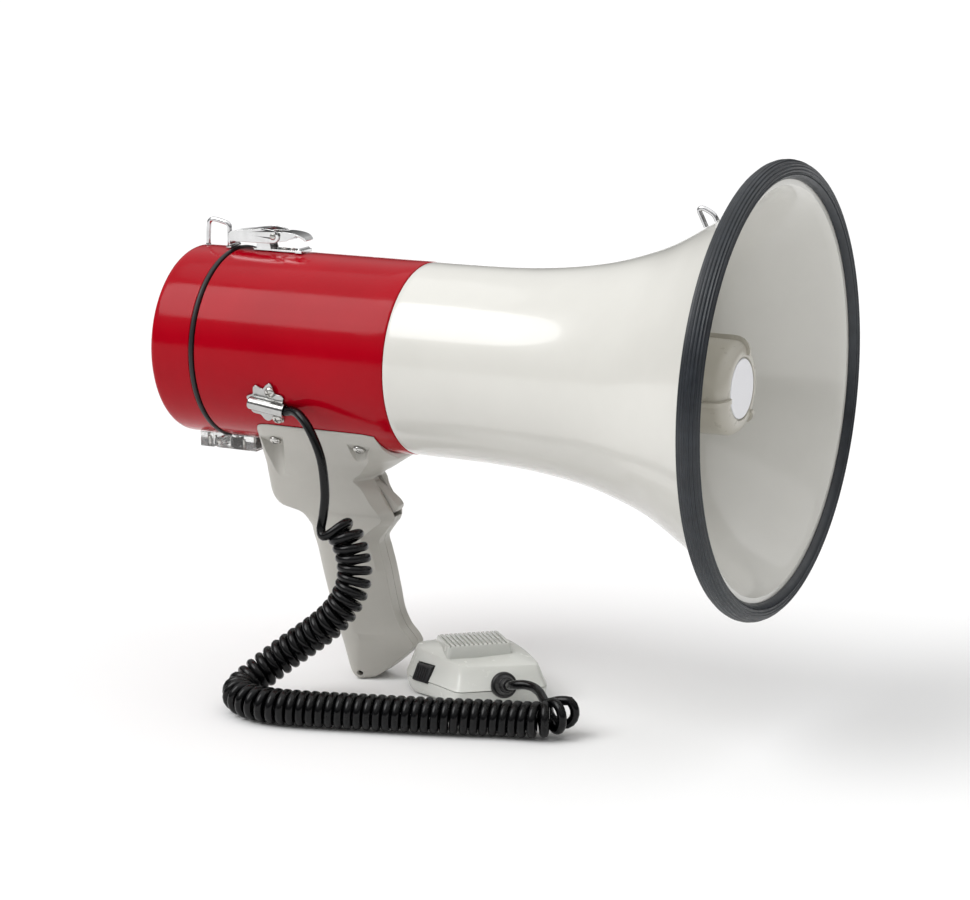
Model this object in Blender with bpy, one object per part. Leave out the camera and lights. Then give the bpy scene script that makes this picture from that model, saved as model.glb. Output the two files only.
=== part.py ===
"""Handheld megaphone: a re-entrant horn on a battery tube with a pistol handle, a hinged
rear cover held by a draw latch, and a palm microphone on a curly cord.

The horn axis runs along +X towards the mouth. The coordinates in the functions below are
millimetres in the horn's own frame: x = 0 at the front plane of the rim ring, the horn axis
at y = z = 0, +Z up. W() turns them into world metres, standing on the floor at z = 0.
"""

import math

import bmesh
import bpy
from mathutils import Matrix, Vector

for old in list(bpy.data.objects):
    bpy.data.objects.remove(old, do_unlink=True)

# ---------------------------------------------------------------- driving dimensions (mm)
MM = 0.001
LENGTH = 340.7  # rim front to rear edge of the cover
MOUTH_R = 115.0  # outside of the rubber rim
TUBE_R = 50.9  # battery tube and cover
WALL = 2.4
AXIS_HEIGHT = 177.5  # horn axis above the floor, standing on the handle's foot
GAP = 0.3  # clearance between touching pieces
X0 = LENGTH / 2

X_TUBE_FRONT = -199.5  # where the red tube meets the horn
X_SEAL = -314.2  # middle of the gasket
X_REAR = -LENGTH

CUP_R = 24.0
CUP_FRONT = -22.5
LABEL_R = 15.25

HINGE_X, HINGE_Z = -320.6, -54.2  # rear cover hinge pin, along Y
LEVER_X, LEVER_Z = -297.5, 58.8  # latch lever pin
CLAW_X, CLAW_Z = -289.5, 59.3  # latch claw rivet
TRIGGER_X, TRIGGER_Z = -235.0, -68.0  # trigger pin
CORD_D = 4.6
COIL_D = 18.6
WIRE_R = 1.3  # strap loop wire

SEG = 36

# outside of the horn: station along the axis, radius
HORN = [(-199.2, 50.7), (-175, 50.8), (-150, 51.3), (-125, 53.2), (-100, 57.0), (-80, 62.3),
        (-60, 69.9), (-40, 81.1), (-25, 90.7), (-12, 99.4), (-7, 103.2)]

# handle: height, rear edge, half width, crease (x, y), front corner (x, y)
HANDLE = [(-33, -287, 36.4, -220, 36.4, -212.6, 36), (-36, -287.2, 36.6, -220, 36.6, -212.6, 36), (-40, -288, 34.2, -220, 34, -212.4, 32.5),
          (-45, -288.3, 31, -220, 30.6, -212, 27), (-49, -288.5, 28.8, -221, 27.6, -211.6, 20), (-52.5, -288.6, 27, -222, 25, -211.5, 12),
          (-57.6, -288.4, 24.3, -227, 20, -217.6, 7), (-62, -288.2, 22.4, -231, 18, -224, 6), (-66.5, -288.2, 20.8, -236, 17, -230.3, 5.5),
          (-70, -288.2, 19.7, -233, 15.5, -228.4, 6), (-73.7, -288.2, 18.6, -231, 14, -225.9, 6.5), (-79.3, -287.4, 17.1, -228, 13, -222.3, 6.5),
          (-84.5, -284.2, 16, -224, 12, -219, 6), (-86, -278.8, 15.8, -223.4, 11, -218.4, 5), (-87, -274, 15.6, -223, 10, -218.2, 4.5),
          (-89, -270.6, 15.3, -223, 10, -218.6, 3.8), (-92, -268.6, 15, -226, 11.5, -220.8, 3.8), (-96, -267.2, 14.7, -230.7, 13.5, -223.8, 4),
          (-99.5, -266.2, 14.5, -233.5, 14, -226.2, 5), (-101, -265.8, 14.5, -232, 13, -226.6, 6), (-106, -264.2, 14.3, -229, 11, -225.4, 6.5),
          (-116, -261.8, 14.2, -226.5, 10, -222.6, 6.5), (-128, -258.6, 14.2, -224.5, 9.5, -220, 6.5), (-139, -255.2, 14.3, -223, 9, -217.4, 6),
          (-147, -252.4, 14.8, -222, 8, -213.6, 6), (-153, -250, 15.2, -219, 7.5, -208.2, 6), (-156.5, -248.8, 15.2, -218, 7.8, -206.2, 5.5),
          (-160, -247.4, 15.2, -220, 9, -208.8, 5.5), (-165, -245.6, 15, -223, 10, -214.3, 6), (-171, -243.4, 14.4, -228, 11, -221.2, 7),
          (-175.5, -241, 12.8, -232, 10.5, -227, 7.5), (-177.5, -238, 11, -234, 9.5, -230.5, 7)]


def W(x, y, z):
    return Vector(((x + X0) * MM, y * MM, (z + AXIS_HEIGHT) * MM))


# ---------------------------------------------------------------- materials
def material(name, colour, roughness, metallic=0.0, alpha=1.0):
    mat = bpy.data.materials.new(name)
    mat.use_nodes = True
    shader = mat.node_tree.nodes["Principled BSDF"]
    shader.inputs["Base Color"].default_value = (*colour, 1.0)
    shader.inputs["Roughness"].default_value = roughness
    shader.inputs["Metallic"].default_value = metallic
    shader.inputs["Alpha"].default_value = alpha
    return mat


RED = (0.50, 0.008, 0.02)
IVORY = (0.76, 0.74, 0.68)
GREY = (0.60, 0.60, 0.56)
BEIGE = (0.55, 0.53, 0.48)
BLACK = (0.012, 0.012, 0.014)
STEEL = (0.78, 0.78, 0.80)


# ---------------------------------------------------------------- modelling helpers
def finish(name, bm, colour, roughness=0.4, metallic=0.0, origin=None, smooth=35.0, alpha=1.0):
    """Closes a bmesh into an object, in world metres, with its origin at a horn-frame point."""
    bmesh.ops.remove_doubles(bm, verts=bm.verts, dist=1e-4)
    bmesh.ops.recalc_face_normals(bm, faces=bm.faces)
    centre = W(*origin) if origin else Vector((0, 0, 0))
    for v in bm.verts:
        v.co = W(*v.co) - centre
    mesh = bpy.data.meshes.new(name)
    bm.to_mesh(mesh)
    bm.free()
    obj = bpy.data.objects.new(name, mesh)
    obj.location = centre
    bpy.context.scene.collection.objects.link(obj)
    mesh.materials.append(material(name, colour, roughness, metallic, alpha))
    mesh.shade_smooth()
    mesh.set_sharp_from_angle(angle=math.radians(smooth))
    return obj


def helper(bm):
    return finish("cutter", bm, GREY)


def apply(obj):
    bpy.context.view_layer.update()
    graph = bpy.context.evaluated_depsgraph_get()
    mesh = bpy.data.meshes.new_from_object(obj.evaluated_get(graph))
    old = obj.data
    obj.modifiers.clear()
    obj.data = mesh
    mesh.name = obj.name
    bpy.data.meshes.remove(old)
    mesh.shade_smooth()
    mesh.set_sharp_from_angle(angle=math.radians(35))
    return obj


def combine(obj, bms, operation):
    for bm in bms:
        tool = helper(bm)
        tool.hide_render = True
        tool.display_type = "WIRE"
        mod = obj.modifiers.new("Boolean", "BOOLEAN")
        mod.operation = operation
        mod.solver = "EXACT"
        mod.object = tool
        apply(obj)
        bpy.data.objects.remove(tool, do_unlink=True)
    return obj


def cut_by(obj, tool):
    """Cuts with a helper object that has been shaped itself, then removes it."""
    tool.hide_render = True
    tool.display_type = "WIRE"
    mod = obj.modifiers.new("Boolean", "BOOLEAN")
    mod.operation = "DIFFERENCE"
    mod.solver = "EXACT"
    mod.object = tool
    apply(obj)
    bpy.data.objects.remove(tool, do_unlink=True)
    return obj


def cut(obj, *bms):
    return combine(obj, bms, "DIFFERENCE")


def join(obj, *bms):
    return combine(obj, bms, "UNION")


def keep(obj, *bms):
    return combine(obj, bms, "INTERSECT")


def bevelled(obj, width, segments=1, angle=40.0):
    mod = obj.modifiers.new("Bevel", "BEVEL")
    mod.width = width * MM
    mod.segments = segments
    mod.limit_method = "ANGLE"
    mod.angle_limit = math.radians(angle)
    mod.use_clamp_overlap = True
    return apply(obj)


def turned(profile, seg=SEG, centre=(0.0, 0.0)):
    """A closed (x, r) outline spun about an axis along X through y, z."""
    bm = bmesh.new()
    verts = [bm.verts.new((x, 0.0, r)) for x, r in profile]
    edges = [bm.edges.new((verts[i], verts[(i + 1) % len(verts)])) for i in range(len(verts))
             if not (profile[i][1] < 1e-6 and profile[(i + 1) % len(verts)][1] < 1e-6)]
    bmesh.ops.spin(bm, geom=verts + edges, cent=(0, 0, 0), axis=(1, 0, 0), dvec=(0, 0, 0),
                   angle=2 * math.pi, steps=seg, use_merge=True, use_duplicate=False)
    bmesh.ops.remove_doubles(bm, verts=bm.verts, dist=1e-4)
    for v in bm.verts:
        v.co += Vector((0.0, centre[0], centre[1]))
    return bm


def rod(p0, p1, r0, r1=None, seg=20):
    """A plain or tapered round bar between two points."""
    p0, p1 = Vector(p0), Vector(p1)
    turn = (p1 - p0).to_track_quat("Z", "Y").to_matrix().to_4x4()
    bm = bmesh.new()
    bmesh.ops.create_cone(bm, cap_ends=True, segments=seg, radius1=r0, radius2=r0 if r1 is None else r1,
                          depth=(p1 - p0).length, matrix=Matrix.Translation((p0 + p1) / 2) @ turn)
    return bm


def slab(lo, hi):
    bm = bmesh.new()
    size = [b - a for a, b in zip(lo, hi)]
    mid = [(a + b) / 2 for a, b in zip(lo, hi)]
    bmesh.ops.create_cube(bm, size=1.0, matrix=Matrix.Translation(mid) @ Matrix.Diagonal((*size, 1.0)))
    return bm


def extruded(points, vector):
    """A flat outline pushed along a vector."""
    bm = bmesh.new()
    face = bm.faces.new([bm.verts.new(p) for p in points])
    made = bmesh.ops.extrude_face_region(bm, geom=[face])
    bmesh.ops.translate(bm, vec=Vector(vector), verts=[g for g in made["geom"] if isinstance(g, bmesh.types.BMVert)])
    bmesh.ops.recalc_face_normals(bm, faces=bm.faces)
    return bm


def side_plate(outline, y0, y1):
    return extruded([(x, y0, z) for x, z in outline], (0, y1 - y0, 0))


def lofted(rings):
    bm = bmesh.new()
    loops = [[bm.verts.new(p) for p in ring] for ring in rings]
    n = len(loops[0])
    for a, b in zip(loops, loops[1:]):
        for i in range(n):
            bm.faces.new((a[i], a[(i + 1) % n], b[(i + 1) % n], b[i]))
    bm.faces.new(loops[0])
    bm.faces.new(list(reversed(loops[-1])))
    return bm


def smooth_through(points, t):
    """Cubic through the stations of a table, by its first column."""
    xs = [p[0] for p in points]
    rising = xs[-1] > xs[0]
    i = 0
    while i < len(points) - 2 and ((t > xs[i + 1]) if rising else (t < xs[i + 1])):
        i += 1
    a, b = points[i], points[i + 1]
    before = points[i - 1] if i else a
    after = points[i + 2] if i + 2 < len(points) else b
    h = b[0] - a[0]
    u = (t - a[0]) / h
    out = []
    for k in range(1, len(a)):
        ma = (b[k] - before[k]) / (b[0] - before[0]) if before is not a else (b[k] - a[k]) / h
        mb = (after[k] - a[k]) / (after[0] - a[0]) if after is not b else (b[k] - a[k]) / h
        out.append((2 * u**3 - 3 * u**2 + 1) * a[k] + (u**3 - 2 * u**2 + u) * h * ma
                   + (3 * u**2 - 2 * u**3) * b[k] + (u**3 - u**2) * h * mb)
    return out


def horn_outside(x):
    return smooth_through(HORN, x)[0]


def catmull(points, spacing):
    """Points an equal distance apart along a smooth curve through a route's own points."""
    route = [Vector(p) for p in points]
    route = [2 * route[0] - route[1]] + route + [2 * route[-1] - route[-2]]
    fine = []
    for p0, p1, p2, p3 in zip(route, route[1:], route[2:], route[3:]):
        for k in range(40):
            t = k / 40
            fine.append(0.5 * (2 * p1 + (p2 - p0) * t + (2 * p0 - 5 * p1 + 4 * p2 - p3) * t**2
                               + (3 * p1 - p0 - 3 * p2 + p3) * t**3))
    fine.append(route[-2])
    total = sum((b - a).length for a, b in zip(fine, fine[1:]))
    count = max(2, round(total / spacing))
    step, out, run, want = total / count, [fine[0]], 0.0, total / count
    for a, b in zip(fine, fine[1:]):
        d = (b - a).length
        while run + d >= want - 1e-6 and len(out) < count:
            out.append(a.lerp(b, (want - run) / d))
            want += step
        run += d
    out.append(fine[-1])
    return out


def wire(name, points, radius, colour, roughness, metallic=0.0, resolution=2):
    """A round wire or cord along points of the horn frame, with closed ends."""
    curve = bpy.data.curves.new(name, "CURVE")
    curve.dimensions = "3D"
    curve.bevel_depth = radius * MM
    curve.bevel_resolution = resolution
    curve.use_fill_caps = True
    curve.twist_mode = "MINIMUM"
    spline = curve.splines.new("POLY")
    spline.points.add(len(points) - 1)
    for point, p in zip(spline.points, points):
        point.co = (*W(*p), 1.0)
    curve.materials.append(material(name, colour, roughness, metallic))
    obj = bpy.data.objects.new(name, curve)
    bpy.context.scene.collection.objects.link(obj)
    return obj


# ---------------------------------------------------------------- horn
stations = [-199.2, -150, -125, -105, -88, -73, -60, -48, -36, -25, -15, -7]
outer = [(x, horn_outside(x)) for x in stations]
inner = []
for x, r in reversed(outer[1:]):
    slope = (horn_outside(min(x + 1, -7)) - horn_outside(x - 1)) / (min(x + 1, -7) - (x - 1))
    n = math.hypot(slope, 1)
    inner.append((x + WALL * slope / n, r - WALL / n))


def horn_inside(x):
    pts = sorted(inner)
    for (xa, ra), (xb, rb) in zip(pts, pts[1:]):
        if xa <= x <= xb:
            return ra + (rb - ra) * (x - xa) / (xb - xa)
    return pts[0][1] if x < pts[0][0] else pts[-1][1]


horn = [(-205.0, 45.7), (-205.0, 48.1), (-199.2, 48.1)] + outer
horn += [(-7.0, 109.0), (-4.6, 109.0), (-4.6, inner[0][1] + 1.3)] + inner[0:] + [(-190, 48.3), (-197, 45.7)]
bell = finish("horn_bell", turned(horn), IVORY, 0.18, origin=(-100, 0, 0))

rim = []
for k in range(11):
    t = math.radians(-74.5 + k * (329.0 / 10))
    rim.append((-5.8 + 5.78 * math.cos(t), 110.0 + (MOUTH_R - 110.0) * math.sin(t)))
rim += [(-7.34, 109.3), (-4.26, 109.3)]
finish("horn_rim_ring", turned(rim), (0.03, 0.035, 0.045), 0.6, origin=(-5.8, 0, 0))

# reflector cup on three ribs, closed in front, open towards the back
cup = [(CUP_FRONT, 16.0), (CUP_FRONT, 17.6)]
cup += [(CUP_FRONT - 7.0 + 7.0 * math.cos(a), CUP_R - 7.0 + 7.0 * math.sin(a)) for a in
        (math.radians(22.5 * k) for k in range(1, 5))]
cup += [(-95, 25.2), (-120, 28), (-120, 26.2), (-95, 23.2), (-32, 21.8), (-27, 18.5), (-25.6, 10), (-25.6, 0),
        (-23.6, 0), (-23.6, 16.0)]
reflector = finish("reflector_cup", turned(cup, 24), BEIGE, 0.3, origin=(-60, 0, 0))
rib = [(-22.1, 16.9), (-21.0, 17.3), (-21.4, 20.5), (-24.6, 24.8), (-30, 26.5), (-66, 26.7), (-74, 32.0)]
rib += [(x, horn_inside(x) - 0.4) for x in (-86, -98, -112)]
rib += [(-119.5, 40.0), (-119.5, 27.2), (-95, 24.2), (-31, 23.0), (-25.6, 20.0)]
for k in range(3):
    a = math.radians(70 + 120 * k)
    out, across = Vector((0, math.cos(a), math.sin(a))), Vector((0, -math.sin(a), math.cos(a)))
    join(reflector, extruded([Vector((x, 0, 0)) + out * r - across for x, r in rib], across * 2))
finish("cup_label_disc", turned([(-23.3, 0), (-23.3, LABEL_R), (-22.6, LABEL_R), (-22.6, 0)], 32), (0.8, 0.8, 0.8),
       0.35, origin=(-23, 0, 0))

# compression driver and the tone tube in front of it
finish("tone_tube", turned([(-159.9, 10), (-159.9, 20), (-156, 20), (-154, 14), (-110, 15), (-44, 18.6),
                            (-44, 17.2), (-110, 13.2), (-154, 10)], 20), BEIGE, 0.4, origin=(-100, 0, 0))
finish("driver_cover", turned([(-196, 35), (-196, 38), (-170, 38), (-164, 30), (-160.3, 20), (-160.3, 10),
                               (-163, 10), (-166, 27), (-172, 35)], 24), (0.1, 0.1, 0.1), 0.5, origin=(-180, 0, 0))
finish("driver_magnet", turned([(-199.8, 0), (-199.8, 34.2), (-182, 34.2), (-182, 0)], 24), (0.1, 0.1, 0.11), 0.4,
       0.6, origin=(-190, 0, 0))
finish("driver_diaphragm", turned([(-180.5, 0), (-180.5, 32), (-179.3, 32), (-178, 20), (-172.5, 8), (-172, 0)], 20),
       (0.45, 0.3, 0.15), 0.4, origin=(-180, 0, 0))
finish("driver_bulkhead", turned([(-203.8, 0), (-203.8, 45.3), (-200.2, 45.3), (-200.2, 0)], 36), (0.2, 0.2, 0.2),
       0.5, origin=(-202, 0, 0))

# ---------------------------------------------------------------- battery tube, gasket, rear cover
finish("body_tube", turned([(X_SEAL + 1.6, 48.4), (X_SEAL + 1.6, TUBE_R), (-200.3, TUBE_R), (-199.5, TUBE_R - 0.5),
                            (-199.5, 48.4)]), RED, 0.15, origin=(-256, 0, 0))
finish("cover_gasket", turned([(X_SEAL + 1.3, 48.6), (X_SEAL + 1.3, 51.6), (X_SEAL, 52.1),
                               (X_SEAL - 1.3, 51.6), (X_SEAL - 1.3, 48.6)]), BLACK, 0.6, origin=(X_SEAL, 0, 0))
cover = [(X_SEAL - 1.6, 48.4), (X_SEAL - 1.6, TUBE_R), (X_REAR + 3, TUBE_R), (X_REAR + 1.2, TUBE_R - 0.6),
         (X_REAR, TUBE_R - 2.4), (X_REAR, 45.2), (X_REAR + 0.6, 44.6), (-332.4, 43.4), (-332.4, 0), (-330.0, 0),
         (-330.0, 48.4)]
rear = finish("rear_cover", turned(cover), RED, 0.15, origin=(HINGE_X, 0, HINGE_Z))
KNOB_Z, BUTTON_Z = 15.0, -17.0
cut(rear, rod((-336, 0, KNOB_Z), (-326, 0, KNOB_Z), 3.6, seg=20), rod((-336, 0, BUTTON_Z), (-326, 0, BUTTON_Z), 5.6, seg=24))

knob = turned([(-340.2, 0), (-340.2, 9.6), (-339.2, 10.8), (-333.4, 11.6), (-333.4, 0)], 24, (0, KNOB_Z))
knob = finish("volume_knob", knob, BLACK, 0.5, origin=(-337, 0, KNOB_Z))
join(knob, rod((-334, 0, KNOB_Z), (-327.4, 0, KNOB_Z), 3.2, seg=20))
for k in range(8):
    a = math.radians(45 * k + 22.5)
    y, z = 12.3 * math.cos(a), 12.3 * math.sin(a)
    cut(knob, rod((-341, y, KNOB_Z + z), (-334.2, y, KNOB_Z + z), 1.5, seg=6))
cut(knob, slab((-341, -0.6, KNOB_Z + 3.5), (-339.6, 0.6, KNOB_Z + 12)))
pot = finish("volume_pot", turned([(-329.7, 3.6), (-329.7, 8.4), (-321, 8.4), (-321, 0), (-327.0, 0), (-327.0, 3.6)],
                                  24, (0, KNOB_Z)), (0.5, 0.5, 0.5), 0.4, 0.8, origin=(-325, 0, KNOB_Z))
finish("siren_button", turned([(-337.4, 0), (-337.4, 4.4), (-336.6, 5.2), (-328.2, 5.2), (-328.2, 0)], 24, (0, BUTTON_Z)),
       BLACK, 0.4, origin=(-333, 0, BUTTON_Z))
switch = finish("siren_switch", slab((-329.7, -8, BUTTON_Z - 7), (-321, 8, BUTTON_Z + 7)), (0.1, 0.1, 0.1), 0.5,
                origin=(-325, 0, BUTTON_Z))
cut(switch, rod((-331, 0, BUTTON_Z), (-325.6, 0, BUTTON_Z), 5.6, seg=24))
board = finish("amplifier_board", turned([(-320.6, 0), (-320.6, 44), (-319.0, 44), (-319.0, 0)], 32), (0.02, 0.15, 0.06),
               0.5, origin=(-320, 0, 0))
finish("amplifier_heat_sink", extruded([(-329.6, 24, -20), (-329.6, 29, -20), (-321, 29, -20), (-321, 24, -20)], (0, 0, 40)),
       (0.6, 0.6, 0.6), 0.4, 0.8, origin=(-325, 26, 0))

# ---------------------------------------------------------------- battery carrier and cells
carrier = finish("battery_carrier", turned([(-208.2, 0), (-208.2, 46.6), (-206.4, 46.6), (-206.4, 0)], 24), (0.04, 0.04, 0.045),
                 0.5, origin=(-259, 0, 0))
for x in (-260.3, -312.3):
    join(carrier, turned([(x, 0), (x, 46.6), (x + 1.8, 46.6), (x + 1.8, 0)], 24))
join(carrier, slab((-312, -0.8, -42), (-207, 0.8, 42)), slab((-312, -42, -0.8), (-207, 42, 0.8)))
CELL_R, CELL_AT = 13.0, 14.3
number = 0
for x in (-258.1, -310.2):
    for sy in (-1, 1):
        for sz in (-1, 1):
            number += 1
            flip = sy * sz > 0
            ends = (x, x + 49.5)
            out = [(0, 0), (0, CELL_R), (47.4, CELL_R), (47.4, 3.4), (49.5, 3.2), (49.5, 0)]
            shape = [((ends[1] - a) if flip else (ends[0] + a), r) for a, r in out]
            finish(f"battery_cell_{number}", turned(shape, 14, (sy * CELL_AT, sz * CELL_AT)), (0.6, 0.45, 0.1), 0.35, 0.3,
                   origin=(x + 25, sy * CELL_AT, sz * CELL_AT))

# ---------------------------------------------------------------- draw latch on top
base = finish("latch_base", slab((-303, -4.0, 51.2), (-272.5, 4.0, 52.2)), STEEL, 0.2, 1.0, origin=(-288, 0, 51.7))
ear = [(-301, 51.6), (-301, LEVER_Z), (-299.5, LEVER_Z + 2), (-295.5, LEVER_Z + 2), (-294, LEVER_Z), (-292, 51.6)]
join(base, side_plate(ear, -4.0, -3.0), side_plate(ear, 3.0, 4.0))
join(base, slab((-276.5, -5.6, 51.2), (-272.5, 5.6, 52.6)))
cut(base, rod((LEVER_X, -6, LEVER_Z), (LEVER_X, 6, LEVER_Z), 1.25, seg=14))
finish("latch_lever_pin", rod((LEVER_X, -5.3, LEVER_Z), (LEVER_X, 5.3, LEVER_Z), 0.95, seg=12), STEEL, 0.2, 1.0,
       origin=(LEVER_X, 0, LEVER_Z))

flange = [(-300.0, 57.2), (-299.6, 60.6), (-297.5, 61.2), (-291, 61.6), (-282, 61.9), (-278.0, 61.5), (-275.5, 61.1),
          (-275.7, 60.7), (-281.7, 57.3), (-292, 56.4), (-297.5, 56.4)]
lever = finish("latch_lever", side_plate(flange, -5.2, -4.3), STEEL, 0.15, 1.0, origin=(LEVER_X, 0, LEVER_Z))
plate = [(-284.6, 61.0), (-284.6, 61.9), (-282, 61.95), (-276.0, 61.3), (-272.2, 59.9), (-270.4, 58.2), (-271.2, 57.6),
         (-272.8, 59.0), (-276.3, 60.3), (-282, 60.9)]
join(lever, side_plate(plate, -5.2, 5.2), side_plate(flange, 4.3, 5.2))
cut(lever, rod((LEVER_X, -8, LEVER_Z), (LEVER_X, 8, LEVER_Z), 1.25, seg=14), rod((CLAW_X, -8, CLAW_Z), (CLAW_X, 8, CLAW_Z), 1.25, seg=14))
finish("latch_claw_rivet", rod((CLAW_X, -6.9, CLAW_Z), (CLAW_X, 6.9, CLAW_Z), 0.95, seg=12), (0.7, 0.6, 0.45), 0.25, 1.0,
       origin=(CLAW_X, 0, CLAW_Z))
side = [(-317.3, 55.6), (-317.3, 60.2), (-315, 60.7), (-297.5, 63.2), (-291.5, 63.0)]
side += [(CLAW_X + 3.4 * math.cos(a), CLAW_Z + 3.4 * math.sin(a)) for a in (math.radians(75 - 25 * k) for k in range(7))]
side += [(-292.5, 55.6), (-310, 55.2)]
claw = finish("latch_claw", side_plate(side, -6.5, -5.6), STEEL, 0.15, 1.0, origin=(CLAW_X, 0, CLAW_Z))
roof = [(-317.3, 53.4), (-317.3, 60.2), (-315, 60.7), (-297.5, 63.2), (-297.5, 62.2), (-314.8, 59.7), (-316.3, 59.3), (-316.3, 53.4)]
join(claw, side_plate(roof, -6.5, 6.5), side_plate(side, 5.6, 6.5))
cut(claw, rod((CLAW_X, -9, CLAW_Z), (CLAW_X, 9, CLAW_Z), 1.25, seg=14))
# the claw's lip ends just over the keeper's bead, so that cover and latch each move alone
keeper = [(-319.8, 51.2), (-319.8, 52.0), (-318.6, 52.4), (-318.2, 53.0), (-316.6, 53.0), (-316.4, 52.4), (-316.4, 51.2)]
finish("latch_keeper", side_plate(keeper, -5.2, 5.2), STEEL, 0.2, 1.0, origin=(-318, 0, 52))

# ---------------------------------------------------------------- clear hinge below
tube_below = rod((-350, 0, 0), (-280, 0, 0), TUBE_R + GAP, seg=72)
front_leaf = finish("hinge_leaf_front", slab((-316.9, -15, -57.1), (-297.0, 15, -44)), (0.85, 0.86, 0.86), 0.08,
                    origin=(HINGE_X, 0, HINGE_Z), alpha=0.35)
for y0, y1 in ((-15, -5.2), (5.2, 15)):
    join(front_leaf, rod((HINGE_X, y0, HINGE_Z), (HINGE_X, y1, HINGE_Z), 2.9, seg=18),
         slab((HINGE_X, y0, -57.1), (-316.0, y1, -51.3)))
cut(front_leaf, tube_below, rod((-316.2, 0, 0), (-312.2, 0, 0), 52.3, seg=72),
    rod((HINGE_X, -16, HINGE_Z), (HINGE_X, 16, HINGE_Z), 1.5, seg=14))
tube_below = rod((-350, 0, 0), (-280, 0, 0), TUBE_R + GAP, seg=72)
rear_leaf = finish("hinge_leaf_rear", slab((-332.2, -15, -57.1), (-324.0, 15, -44)), (0.85, 0.86, 0.86), 0.08,
                   origin=(HINGE_X, 0, HINGE_Z), alpha=0.35)
join(rear_leaf, rod((HINGE_X, -4.9, HINGE_Z), (HINGE_X, 4.9, HINGE_Z), 2.9, seg=18),
     slab((-325.0, -4.9, -57.1), (HINGE_X, 4.9, -51.3)))
cut(rear_leaf, tube_below, rod((HINGE_X, -16, HINGE_Z), (HINGE_X, 16, HINGE_Z), 1.5, seg=14))
finish("hinge_pin", rod((HINGE_X, -14.8, HINGE_Z), (HINGE_X, 14.8, HINGE_Z), 1.15, seg=14), STEEL, 0.2, 1.0,
       origin=(HINGE_X, 0, HINGE_Z))

# ---------------------------------------------------------------- strap loops
rear_loop = [(-334.9, 1.5, 51.3), (-334.7, 1.5, 57), (-334.2, 1.5, 62.8), (-333.3, 1.5, 64.6), (-331.4, 1.5, 65.2), (-328, 1.5, 64.8), (-323.6, 1.5, 63.8),
             (-321.9, 1.5, 62.8), (-321.3, 1.5, 61.0), (-321.3, 1.5, 56), (-321.3, 1.5, 51.3)]
wire("rear_strap_loop", rear_loop, WIRE_R, STEEL, 0.2, 1.0)
front_loop = [(-43.4, 0, 79.9), (-45.6, 0, 84.2), (-47.2, 0, 87.4), (-46.9, 0, 88.6), (-45.4, 0, 89.0), (-42.2, 0, 87.8), (-39.4, 0, 86.0),
              (-37.6, 0, 84.3)]
for i, (x, y, z) in enumerate(front_loop):
    if i in (0, len(front_loop) - 1):
        low = horn_outside(x) + 0.9
        front_loop[i] = (x, y, max(z, low) if i else low)
wire("front_strap_loop", front_loop, WIRE_R, STEEL, 0.2, 1.0)

# ---------------------------------------------------------------- cord clamp on the tube's side
CLAMP_X, CLAMP_A = -270.3, math.radians(-26.9)
R_CLAMP = TUBE_R + GAP


def on_tube(x, s, t):
    """A point on the tube's near side: x along it, s up round it, t out from its surface."""
    a = CLAMP_A + s / TUBE_R
    r = R_CLAMP + t
    return Vector((CLAMP_X + x, -r * math.cos(a), r * math.sin(a)))


bm = bmesh.new()
flower = []
for k in range(56):
    a = 2 * math.pi * k / 56
    rho = 10.9 + 1.3 * math.cos(8 * (a - math.radians(27)))
    for lobe, more in ((72, 1.3), (297, 0.9)):
        rho += more * math.exp(-((math.degrees(a) - lobe) / 14.0) ** 2)
    flower.append((rho * math.cos(a), 0.8 + rho * math.sin(a)))
low = [bm.verts.new(on_tube(x, s, 0.0)) for x, s in flower]
high = [bm.verts.new(on_tube(x, s, 1.1)) for x, s in flower]
mid_low, mid_high = bm.verts.new(on_tube(0, 0.8, 0.0)), bm.verts.new(on_tube(0, 0.8, 1.1))
for k in range(56):
    j = (k + 1) % 56
    bm.faces.new((low[k], low[j], high[j], high[k]))
    bm.faces.new((mid_low, low[j], low[k]))
    bm.faces.new((mid_high, high[k], high[j]))
clamp = finish("cord_clamp", bm, STEEL, 0.3, 1.0, origin=(CLAMP_X, -46, -23))
CHANNEL = 2.7  # cord centre over the tube's surface


def band(x):
    """The cord's line through the clamp, a little across the tube's own line."""
    return on_tube(x, 2.6 - 0.155 * (x + 8.0), CHANNEL)


join(clamp, rod(band(-9.6), band(11.6), 3.6, seg=20))
cut(clamp, rod((CLAMP_X - 30, 0, 0), (CLAMP_X + 30, 0, 0), R_CLAMP, seg=96),
    rod(band(-3), band(13), CORD_D / 2 + 0.35, seg=16))
for name, s in (("clamp_screw_upper", 9.0), ("clamp_screw_lower", -7.5)):
    head = finish(name, rod(on_tube(4.0, s, 1.4), on_tube(4.0, s, 3.0), 3.0, 2.3, seg=18), STEEL, 0.25, 1.0,
                  origin=tuple(on_tube(4.0, s, 1.4)))

# ---------------------------------------------------------------- handle


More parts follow.
